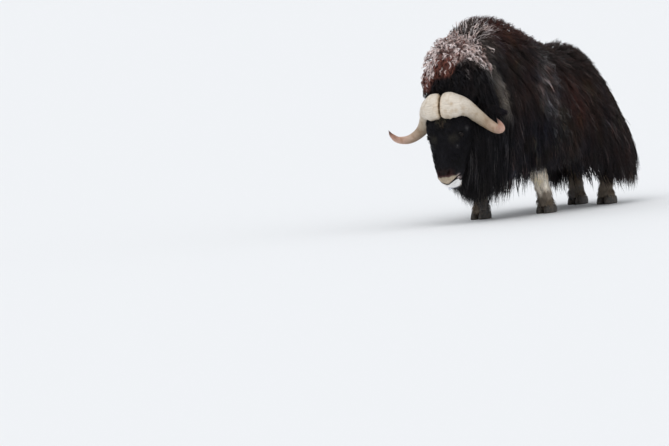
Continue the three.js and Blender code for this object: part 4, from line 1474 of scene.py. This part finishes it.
def hair_material(name, roughness, warm_tip, root_shade_to_tip, variety, hued=1.0):
    """Hair: markings, darker at the root, partly as painted shade deep in the coat, paler at the tip, with
    each lock's own lightness and warmth.
    """
    material, tree, shader, place = new_material(name)
    up, chance = attribute(tree, "up"), attribute(tree, "chance")
    colour = attribute(tree, "marking", "Color")
    # the ramp along each spike darkens its root, partly as painted shade deep in the coat, and lightens its
    # tip
    colour = times(tree, colour, ranged_grey(tree, up, *root_shade_to_tip, 0.0, 1.0))
    colour = times(tree, colour, ranged_grey(tree, chance, *variety, 0.15, 0.85))
    patches = ranged(tree, noise(tree, place, 9.0), 0.0, 0.5, 0.42, 0.66)
    strands = ranged(tree, noise(tree, place, 40.0, (1, 1, 0.2)), 0.0, 0.5, 0.45, 0.62)
    warmth = reckoned(tree, "ADD", patches, strands)
    colour = mixed(tree, warmth, colour, times(tree, colour, (*warm_tip, 1)))
    hues = noise(tree, place, 6.0, (1, 1, 0.7), 2.0)
    cool = times(tree, colour, (0.84, 0.97, 1.22, 1))
    olive = times(tree, colour, (1.06, 1.08, 0.80, 1))
    colour = mixed(tree, ranged(tree, hues, 0.0, hued, 0.44, 0.34), colour, cool)
    colour = mixed(tree, ranged(tree, hues, 0.0, hued, 0.56, 0.66), colour, olive)
    clumps = ranged(tree, noise(tree, place, 26.0), 0.78, 1.0, 0.36, 0.54)
    frosted = reckoned(tree, "MULTIPLY", attribute(tree, "frost"), clumps)
    frosted = reckoned(tree, "MULTIPLY", frosted, ranged(tree, up, 0.30, 1.0, 0.0, 0.30))
    pale = mixed(tree, ranged(tree, chance, 0.0, 1.0, 0.25, 0.50), (*FROST_PINK, 1), (*FROST, 1))
    colour = mixed(tree, frosted, colour, pale)
    fine = noise(tree, place, 220.0)
    shaded(tree, shader, colour, ranged(tree, fine, roughness - 0.1, roughness + 0.1), 0.12)
    bumped(tree, shader, fine, 0.0008, 0.6)
    return material


coat_hair = hair_material("coat_hair", 0.65, (1.50, 0.93, 0.80), (0.60, 1.30), (0.50, 1.60))
neck_hair = hair_material("neck_hair", 0.65, (1.12, 1.0, 0.94), (0.60, 1.25), (0.45, 1.55), 0.3)
mane_hair = hair_material("mane_hair", 0.75, (1.35, 0.95, 0.80), (0.60, 1.20), (0.55, 1.45), 0.3)
face_hair = hair_material("face_hair", 0.70, (1.15, 1.0, 0.9), (0.92, 1.06), (0.85, 1.15))
leg_hair = hair_material("leg_hair", 0.75, (1.10, 1.0, 0.9), (0.88, 1.08), (0.75, 1.20))
print("five kinds of hair")

# %% [markdown]
# On the back the hair lies towards the rump. On the shoulder it falls straight, and on the rear flank aslant.
# It is short on the saddle, longer on the hump, and longest at the skirt, where it ends in a ragged hem. Half
# of the locks are short ones that start inside the coat, so the surface looks woolly and not combed.

# %% The lie and the length of the body's hair
STRAY = 0.16  # how far each step of a lock strays from the lie
TOP_START, TOP_SHARE = 0.5, 0.5  # short locks start this deep, and are this share of all
LOW_HEM = [  # along, width and drop of the places where the hem hangs lower
    (0.13, 0.07, 0.055), (0.31, 0.09, 0.055), (0.80, 0.040, 0.050), (0.89, 0.05, 0.030),
]


def from_top(turn):
    """How far round from the back line a place is, on either side, from 0 to pi."""
    return np.abs((turn + np.pi) % (2 * np.pi) - np.pi)


def strayed(way, much):
    """Ways with each one turned a little at random."""
    return unit(way + much * rng.normal(0, 1, way.shape))


def steady_lie(way, much):
    """A lie that is the same everywhere, save for some disorder."""
    def lie(turn, along, point):
        return strayed(np.array(way) + 0 * point, much)
    return lie


def body_lie(turn, along, point):
    """The way the hair lies on the body: backwards on top, and down on the sides, aslant behind."""
    around = from_top(turn)
    side = eased((around - 0.10) / 0.85)
    sweep = 0.10 + 0.50 * eased((0.66 - along) / 0.22)
    sweep = sweep * (1 - 0.85 * eased((0.20 - along) / 0.14)) * (1 - 0.45 * eased((around - 1.45) / 0.5))
    way = np.stack([0 * turn, 1 - (1 - sweep) * side, -side], -1)
    return strayed(way, STRAY)


def looser_lie(much):
    """The body's lie with more disorder."""
    def lie(turn, along, point):
        return strayed(body_lie(turn, along, point), much)
    return lie


def hem_level(along):
    """The lowest level that each lock reaches, for a ragged edge that hangs lower in a few places."""
    bottom = between(COAT, along)[2]
    lower = sum(drop * bell(along - place, width) for place, width, drop in LOW_HEM)
    return bottom + rng.uniform(-0.040, 0.055, len(along)) - lower


def body_length(turn, along):
    """How long the hair is: short on the saddle, long at the skirt."""
    around = from_top(turn)
    length = 0.11 + 0.25 * eased((around - 0.7) / 0.9) + 0.10 * eased((around - 1.3) / 0.5)
    hump = eased((along - 0.60) / 0.12)
    rump = eased((0.34 - along) / 0.12)
    return length + (0.04 * hump + 0.05 * rump) * eased((1.2 - around) / 0.6)


LONG_HAIR = {  # crowd under 1 puts more rings near the tip, and tighten over 1 curls the tip more
    "spikes": 5, "rings": 5, "spread": 0.022, "pinch": 0.42, "shortest": 0.62, "lift": 0.007,
    "wave": 0.009, "waves": 1.15, "curl": 0.6, "stray": 0.16, "width": 0.0028,
    "crowd": 1.0, "tighten": 1.0,
}
NECK_HAIR = dict(LONG_HAIR, wave=0.007, waves=1.0, stray=0.12)
BACK_HAIR = dict(LONG_HAIR, spikes=4, rings=4, spread=0.017, pinch=0.30, wave=0.008, waves=1.0, width=0.0027)
UNDER_HAIR = dict(LONG_HAIR, rings=4, spread=0.040, width=0.0050)
MANE_SPOTS = [  # place in the head's frame, share and size: pale curls low in the mane
    ((0.010, 0.044, 0.274), 0.45, 0.016), ((0.194, 0.105, 0.234), 0.16, 0.014),
    ((0.226, 0.148, 0.185), 0.14, 0.014),
]


def crown_look(places):
    """How frosted and how rusty locks are at places of the drawing. The mane's frost has dark and rusty gaps
    and ends on the left in a bright arc. Over the front of the hump it breaks up into single pale curls."""
    x, y, z = np.moveaxis(off_head(places), -1, 0)
    frost, rust, arc = mane_zones(places)
    speckled = rng.uniform(0, 1, len(x))
    patchy = np.sin(95 * x + 2 * np.sin(50 * z)) * np.sin(110 * z + 1.5 * np.sin(60 * x))
    gaps = 0.50 + 0.35 * eased((0.13 - x) / 0.05)
    look = frost * rng.uniform(0.9, 1.0, len(x)) * (1 - gaps * eased((patchy - 0.18) / 0.25))
    look = look * (1 - 0.85 * (speckled > 0.90))
    look = np.maximum(look, 0.8 * rust * (speckled < 0.35))
    look = np.maximum(look, bell(z - arc, 0.010) * (x > 0.10) * (x < 0.26) * (y < 0.32))
    hump = eased((y - 0.27) / 0.04) * eased((0.60 - y) / 0.08) * eased((z - 0.38 - 0.25 * (y - 0.30)) / 0.08)
    often = 0.14 + 0.26 * eased((z - 0.48) / 0.10)
    look = np.maximum(look, hump * (speckled < often) * (0.25 + 0.5 * eased((z - 0.50) / 0.06)))
    for spot, share, size in MANE_SPOTS:
        look = np.maximum(look, share * bell(np.linalg.norm(off_head(places) - spot, axis=-1), size))
    return look, rust


def old_wool(tips):
    """How grey locks are, from their tips: most of those behind the shoulder, and a few everywhere."""
    y, z = tips[:, 1], tips[:, 2]
    band = bell(y - 0.02 - 0.55 * np.maximum(z - 0.75, 0), 0.085) * bell(z - 0.83, 0.19)
    band = band * (rng.uniform(0, 1, len(tips)) < 0.80) * rng.uniform(0.15, 1.0, len(tips)) ** 1.5
    return np.maximum(0.8 * band, 0.12 * (rng.uniform(0, 1, len(tips)) < 0.10))


def back_rise(turn, along):
    """The coat along the back: higher over rear and rump, lower in the dip between rump and hump."""
    rise = 0.25 * bell(along - 0.10, 0.07) + 0.30 * bell(along - 0.41, 0.04) - 0.22 * bell(along - 0.51, 0.03)
    return 1 + rise * eased((1.1 - from_top(turn)) / 0.6)


def body_piece(name, count, turns, alongs, style, depth=(0.88, 1.08), density=even, hair=coat_hair):
    """A piece of the body's coat between two turns and two places along."""
    turn, along = spread_roots(body_form, count, turns, alongs, density)
    start = TOP_START * (rng.uniform(0, 1, count) < TOP_SHARE)
    length = body_length(turn, along) * rng.uniform(0.8, 1.15, count) * (1 - 0.8 * start)
    layer = rng.uniform(*depth, count) * back_rise(turn, along)
    points, ways = led_paths(*TRUNK, turn, along, length, layer, body_lie, start)
    points = kept_above(points, hem_level(along))
    keep = off_horns(points, HORN_ROOM)
    points, ways, turn, along = points[keep], ways[keep], turn[keep], along[keep]
    unwrap = unwrapped(turn, along, turns, alongs)
    frost = crown_look(points[:, STEPS // 2])[0] * eased((1.25 - from_top(turn)) / 0.3)
    tint = (GREY, old_wool(points[:, -1]))
    add_tufts(name, points, ways, style, unwrap, hair, "coat", frost=frost, tint=tint)


def on_side(side, *turns):
    """Turns on one side of the animal, the lower one first."""
    return sorted(side * turn for turn in turns)


SIDE_FROM, UNDER_FROM = 0.95, 2.1  # turns where the flank and the belly begin
REAR, MIDDLE, FRONT = 0.005, 0.41, 0.86  # places along the body where pieces begin and end
body_piece("coat_back_rear", 1150, (-SIDE_FROM, SIDE_FROM), (REAR, MIDDLE), BACK_HAIR)
body_piece("coat_back_front", 1250, (-SIDE_FROM, SIDE_FROM), (MIDDLE, FRONT), BACK_HAIR)
for name, side in SIDES.items():
    flank = on_side(side, SIDE_FROM, UNDER_FROM)
    body_piece("coat_flank_rear_" + name, 700, flank, (REAR, MIDDLE), LONG_HAIR)
    body_piece("coat_flank_front_" + name, 800, flank, (MIDDLE, FRONT), LONG_HAIR)

# %% [markdown]
# Under the belly more hair hangs straight down, so the skirt is thick and dark inside. It grows out of the
# underside and the lower flank.

# %% The skirt's inner hair
for name, side in SIDES.items():
    under = on_side(side, UNDER_FROM, np.pi)
    body_piece("coat_under_" + name, 220, under, (0.02, 0.84), UNDER_HAIR, depth=(0.7, 0.98))

# %% [markdown]
# Thin wisps break the outline. They stand out from the rump and hang past the hem, each a little its own way.

# %% Wisps
WISP_HAIR = dict(LONG_HAIR, spikes=3, spread=0.020, pinch=0.1, shortest=0.5, wave=0.010, width=0.0016)
WISP_DROP = 0.03  # how far below the hem the wisps reach


def wisp_level(along):
    """The lowest level that each wisp reaches."""
    return hem_level(along) - WISP_DROP


for name, side in SIDES.items():
    lock_piece("coat_wisps_" + name, TRUNK, 190, (0.01, 0.84), lengths=(0.10, 0.22), layers=(1.0, 1.20),
               lie=looser_lie(0.28), style=WISP_HAIR, hair=coat_hair, slot="coat",
               turns=on_side(side, 1.0, 2.2), start=0.7, hem=wisp_level)

# %% [markdown]
# Last winter's wool works its way out behind the shoulder. It lies over the coat there as a matted web of
# thin pale hairs, which go every way.

# %% Old wool on the flanks
WOOL_HAIR = dict(
    LONG_HAIR, spread=0.014, pinch=0.20, wave=0.010, waves=1.3, curl=1.0, stray=0.3, width=0.0017
)


def wool_tint(points):
    """The old wool is grey, most of it wholly so."""
    return GREY, np.minimum(1, 2.4 * old_wool(points[:, -1]))


for name, side in SIDES.items():
    lock_piece("coat_wool_" + name, TRUNK, 175, (0.60, 0.745), lengths=(0.04, 0.09), layers=(1.0, 1.08),
               lie=looser_lie(0.6), style=WOOL_HAIR, hair=neck_hair, slot="coat",
               turns=on_side(side, 0.55, 1.55), start=0.80, tint=wool_tint)

# %% [markdown]
# From the ruff forward the hair hangs from the neck and throat like a beard. The ruff itself is a collar of
# short pale wool that stands out over the shoulder. Its locks start well inside the coat.

# %% Neck, beard and ruff
THROAT = 0.985
RUFF_HAIR = dict(LONG_HAIR, spread=0.014, pinch=0.3, wave=0.007, waves=1.4, curl=1.0, width=0.0026)
RUFF_START = 0.55
RUFF_TURNS, RUFF_ALONGS = (0.55, 1.62), (0.850, 0.905)
POLL_FROM, POLL_TURN = 0.895, 0.92  # where along the neck and how far round the poll's wool begins and ends
POLL_MARGIN = (0.010, 0.15)  # how far, along and round, the neck's hair reaches into it


def below_poll(turn, along, point):
    """The same density everywhere, but none where the woolly poll is, save its margin."""
    return 1.0 - (along > POLL_FROM + POLL_MARGIN[0]) * (from_top(turn) < POLL_TURN - POLL_MARGIN[1])


def ruff_lie(turn, along, point):
    """The way the ruff's wool lies: back, down and outwards."""
    way = np.stack([0.5 * np.sin(turn), 0 * turn + 0.55, 0 * turn - 0.7], -1)
    return strayed(way, 0.25)


def ruff_piece(name, side, count):
    """The collar on one side."""
    turns = on_side(side, *RUFF_TURNS)
    turn, along = spread_roots(body_form, count, turns, RUFF_ALONGS, even)
    length, layer = rng.uniform(0.06, 0.10, count), rng.uniform(0.96, 1.06, count)
    points, ways = led_paths(*TRUNK, turn, along, length, layer, ruff_lie, RUFF_START)
    pale = ruff_share(points[:, -1])
    keep = off_horns(points, HORN_ROOM)
    unwrap = unwrapped(turn[keep], along[keep], turns, RUFF_ALONGS)
    tint = (RUFF, (pale * rng.uniform(0.2, 1.1, count))[keep])
    add_tufts(name, points[keep], ways[keep], RUFF_HAIR, unwrap, neck_hair, "coat", tint=tint)


for name, side in SIDES.items():
    neck = on_side(side, 0, np.pi)
    body_piece("coat_neck_" + name, 540, neck, (0.84, THROAT), NECK_HAIR, density=below_poll, hair=neck_hair)
    ruff_piece("coat_ruff_" + name, side, 250)

# %% [markdown]
# The crown is a thick woolly mane, frosted at the tips, and the same wool covers the front slope of the
# neck behind it. Flat wool covers the skin, and over it lie short locks that curl once or twice. All hairs
# of a lock curl together, so the mane looks like fleece. Each lock goes its own way, mostly down.

# %% Crown of mane
CROWN_HAIR = {
    "spikes": 4, "rings": 8, "spread": 0.010, "pinch": 0.65, "shortest": 0.88, "lift": 0.001,
    "wave": 0.0070, "waves": 1.4, "curl": 1.0, "stray": 0.02, "width": 0.0034,
    "crowd": 0.75, "tighten": 1.8,
}
CROWN_WOOL = dict(CROWN_HAIR, spikes=5, rings=4, spread=0.022, pinch=0.2, wave=0.004, waves=0.8, width=0.0065)
crown_lie = steady_lie((0.0, -0.15, -1.0), 0.45)  # down and a little forwards, each lock its own way


def crown_density(turn, along, point):
    """Few where the crown meets the neck behind it, and close together just above the boss."""
    low = eased((0.32 - off_head(point)[:, 2]) / 0.05)
    return (0.1 + 0.9 * eased((-0.50 - point[:, 1]) / 0.1)) * (1 + 0.4 * low)


def crown_piece(name, forms, count, turns, alongs, density, layers, style=CROWN_HAIR):
    """Woolly mane between two forms. It is longest at the sides, where it hangs past the ends of the boss."""
    inner, outer = forms
    turn, along = spread_roots(inner, count, turns, alongs, density)
    root = off_head(inner(turn, along))
    beside = eased((np.abs(root[:, 0]) - 0.10) / 0.04) * eased((0.34 - root[:, 2]) / 0.08)
    length, layer = rng.uniform(0.08, 0.12, count) + 0.06 * beside, rng.uniform(*layers, count)
    points, ways = led_paths(inner, outer, turn, along, length, layer, crown_lie)
    keep = off_horns(points, 0.0)
    points, ways = points[keep], ways[keep]
    frost, rust = crown_look(points[:, -1])
    unwrap, tint = unwrapped(turn[keep], along[keep], turns, alongs), (RUST, rust)
    add_tufts(name, points, ways, style, unwrap, mane_hair, "crown_mane", frost=frost, tint=tint)


crown_piece("coat_crown", MANE, 920, (0, FULL), (0.0, 0.84), crown_density, (0.82, 1.04))
crown_piece("coat_crown_wool", MANE, 520, (0, FULL), (0.0, 0.92), even, (0.15, 0.75), CROWN_WOOL)
crown_piece("coat_poll", TRUNK, 370, (-POLL_TURN, POLL_TURN), (POLL_FROM, 0.992), even, (0.88, 1.05))

# %% [markdown]
# Two small tufts stand alone: a bright curl behind the mane, and hair that fills the gap between the bosses
# and hangs out of it over the forehead.

# %% Lone tufts
LONE_TURN, LONE_ALONG, LONE_LOCKS = 0.695, 0.8790, 3
CURL_HAIR = dict(CROWN_HAIR, spikes=9, spread=0.007, wave=0.0085)
GAP_HAIR = dict(CROWN_HAIR, spikes=6, spread=0.016, pinch=0.1, wave=0.003, width=0.0013)


def wholly(colour):
    """A tint that gives every lock this one colour."""
    def tint(points):
        return colour, np.ones(len(points))
    return tint


turn = LONE_TURN + rng.normal(0, 0.02, LONE_LOCKS)
along = LONE_ALONG + rng.normal(0, 0.003, LONE_LOCKS)
length, layer = np.full(LONE_LOCKS, 0.06), np.full(LONE_LOCKS, 1.04)
points, ways = led_paths(*TRUNK, turn, along, length, layer, body_lie, start=0.8)
unwrap = unwrapped(turn, along, (0.5, 1.0), (0.8, 0.9))
add_tufts("coat_lone_curl", points, ways, CURL_HAIR, unwrap, mane_hair, "crown_mane", frost=0.95)

gap_lie = steady_lie((0.0, -0.3, -1.0), 0.25)  # out of the gap and down
lock_piece("coat_gap", HEAD, 34, (0.12, 0.37), lengths=(0.02, 0.04), layers=(0.9, 1.8), lie=gap_lie,
           style=GAP_HAIR, hair=mane_hair, slot="crown_mane", turns=(-0.12, 0.12), tint=wholly(OLIVE))

# %% [markdown]
# Short hair lies flat on the face and is mostly the skin's bump. Tufts follow it where it breaks the
# outline: down the nose and out over the cheeks, longer towards the jaw and shortest round nose and lips.

# %% Face
FACE_HAIR = {
    "spikes": 4, "rings": 3, "spread": 0.013, "pinch": 0.20, "shortest": 0.6, "lift": 0.0006,
    "wave": 0.0010, "waves": 1.0, "curl": 0.4, "stray": 0.10, "width": 0.0012,
    "crowd": 1.0, "tighten": 1.0,
}
MUZZLE_HAIR = dict(FACE_HAIR, spread=0.007, lift=0.0, wave=0.0002, width=0.0005)
FACE_ALONGS = (0.30, 0.995)
MUZZLE_TOP = -0.315  # the height in the head's frame where the short hair of the muzzle begins


def face_lie(turn, along, point):
    """The way the face's hair lies: down the nose, and back and down on the cheeks."""
    side = np.clip(from_top(turn) / 1.4, 0, 1)
    way = np.stack([0.25 * np.sin(turn), 0.55 * side, 0 * turn - 1.0], -1)
    return strayed(way @ head_turn.T, 0.10)


def face_density(turn, along, point):
    """The same all over, but none in eyes, nostrils and mouth, or under the boss."""
    x, y, z = np.moveaxis(off_head(point), -1, 0)
    x = np.abs(x)
    off_eye = eye_offset(x, y, z)
    ahead = np.maximum(off_eye @ SIGHT, 1e-4)
    aside, over = np.arctan2(off_eye @ LID_LINE, ahead), np.arctan2(off_eye @ LID_UP, ahead)
    eye = np.hypot(aside / (1.25 * OPEN_LONG), over / (1.5 * OPEN_UPPER)) > 1
    nostril = np.hypot((x - NOSTRIL[0]) / 0.012, (z - NOSTRIL[1]) / 0.018) > 1.2
    pad = np.hypot(x / 0.018, (z - NOSTRIL[1]) / 0.018) > 1
    mouth = (np.abs(z - mouth_level(x, y)) > 0.006) | (muzzle_angle(x, y) > MOUTH_END)
    return 1.0 * (eye & nostril & pad & mouth & (z < 0.03))


def muzzle_density(turn, along, point):
    """The face's density on the muzzle, and none above it."""
    z = off_head(point)[:, 2]
    return face_density(turn, along, point) * (z < MUZZLE_TOP)


def cheek_density(turn, along, point):
    """The face's density, thinning out where the muzzle's own hair begins."""
    z = off_head(point)[:, 2]
    return face_density(turn, along, point) * (0.02 + eased((z - MUZZLE_TOP + 0.015) / 0.03))


def face_length(points):
    """How long the face's hair is at points of the head's frame."""
    x, y, z = points.T
    from_eye = np.linalg.norm(eye_offset(x, y, z), axis=-1)
    length = 0.022 + 0.034 * eased((y - 0.06) / 0.1) + 0.014 * eased((z + 0.06) / 0.08)
    return length * (0.20 + 0.80 * eased((from_eye - 0.024) / 0.034))


def muzzle_length(points):
    """How long the muzzle's hair is."""
    return 0.004 + 0.010 * eased((points[:, 1] - 0.03) / 0.06) * eased((-0.40 - points[:, 2]) / 0.03)


def face_piece(name, count, turns, style, density, long, layers):
    """The face's short tufts between two turns."""
    turn, along = spread_roots(face_skin, count, turns, FACE_ALONGS, density)
    length = long(off_head(face_skin(turn, along))) * rng.uniform(0.75, 1.2, count)
    layer = rng.uniform(*layers, count)
    points, ways = led_paths(*HEAD, turn, along, length, layer, face_lie)
    add_tufts(name, points, ways, style, unwrapped(turn, along, turns, FACE_ALONGS), face_hair, "face")


for name, side in SIDES.items():
    cheek = on_side(side, 0.0, 2.3)
    face_piece("coat_face_" + name, 880, cheek, FACE_HAIR, cheek_density, face_length, (0.35, 0.90))
face_piece("coat_muzzle", 300, (-1.9, 1.9), MUZZLE_HAIR, muzzle_density, muzzle_length, (0.15, 0.5))

# %% [markdown]
# The beard starts right under the chin. Its locks fall straight down from the rear half of the jaw.

# %% Chin
CHIN_HAIR = dict(LONG_HAIR, rings=4, spread=0.014, lift=0.004, wave=0.004, width=0.0018)
chin_lie = steady_lie((0.0, 0.15, -1.0), 0.12)  # down and a little back
lock_piece("coat_chin", HEAD, 80, (0.80, 0.975), lengths=(0.05, 0.11), layers=(0.9, 1.0), lie=chin_lie,
           style=CHIN_HAIR, hair=neck_hair, slot="coat", turns=(1.9, 4.4), tint=wholly(DARK))

# %% [markdown]
# Short hair on the legs points down, and longer hair over the hooves spreads out and hides their upper edge.
# Tail and ears have hair of their own too.

# %% Legs, tail and ears
LEG_HAIR = dict(FACE_HAIR, spikes=5, spread=0.018, pinch=0.25, lift=0.0030, wave=0.0020, width=0.0018)
TAIL_HAIR = dict(LONG_HAIR, spread=0.012)
EAR_HAIR = dict(LEG_HAIR, spread=0.008)


def ear_lie(name):
    """The way an ear's hair lies: towards the ear's tip and a little down."""
    tip, root = (ear_form(name)(np.zeros(1), np.full(1, end)) for end in (1.0, 0.0))
    return steady_lie(unit(tip - root) + [0, 0.1, -0.2], 0.15)


down = steady_lie((0.0, 0.0, -1.0), 0.08)
for name in LEGS:
    forms = leg_form(name, LEG_INSET), leg_form(name)
    on_leg = dict(lie=down, style=LEG_HAIR, hair=leg_hair, slot="leg")
    lock_piece("coat_leg_" + name, forms, 220, (0.050, 0.72), lengths=(0.032, 0.056), layers=(0.5, 1.6),
               **on_leg)
    lock_piece("coat_fetlock_" + name, forms, 60, (0.075, 0.14), lengths=(0.034, 0.055), layers=(1.0, 3.4),
               **on_leg)
forms = [oval_form(**TAIL, share=share) for share in (TAIL_INSIDE, 1.0)]
lock_piece("coat_tail", forms, 70, (0.0, 0.9), lengths=(0.07, 0.12), layers=(0.7, 1.0),
           lie=down, style=TAIL_HAIR, hair=coat_hair, slot="coat")
for name in EARS:
    forms = ear_form(name, EAR_INSIDE), ear_form(name)
    lock_piece("coat_ear_" + name, forms, 110, (0.05, 0.97), lengths=(0.025, 0.040), layers=(0.5, 1.0),
               lie=ear_lie(name), style=EAR_HAIR, hair=coat_hair, slot="coat")
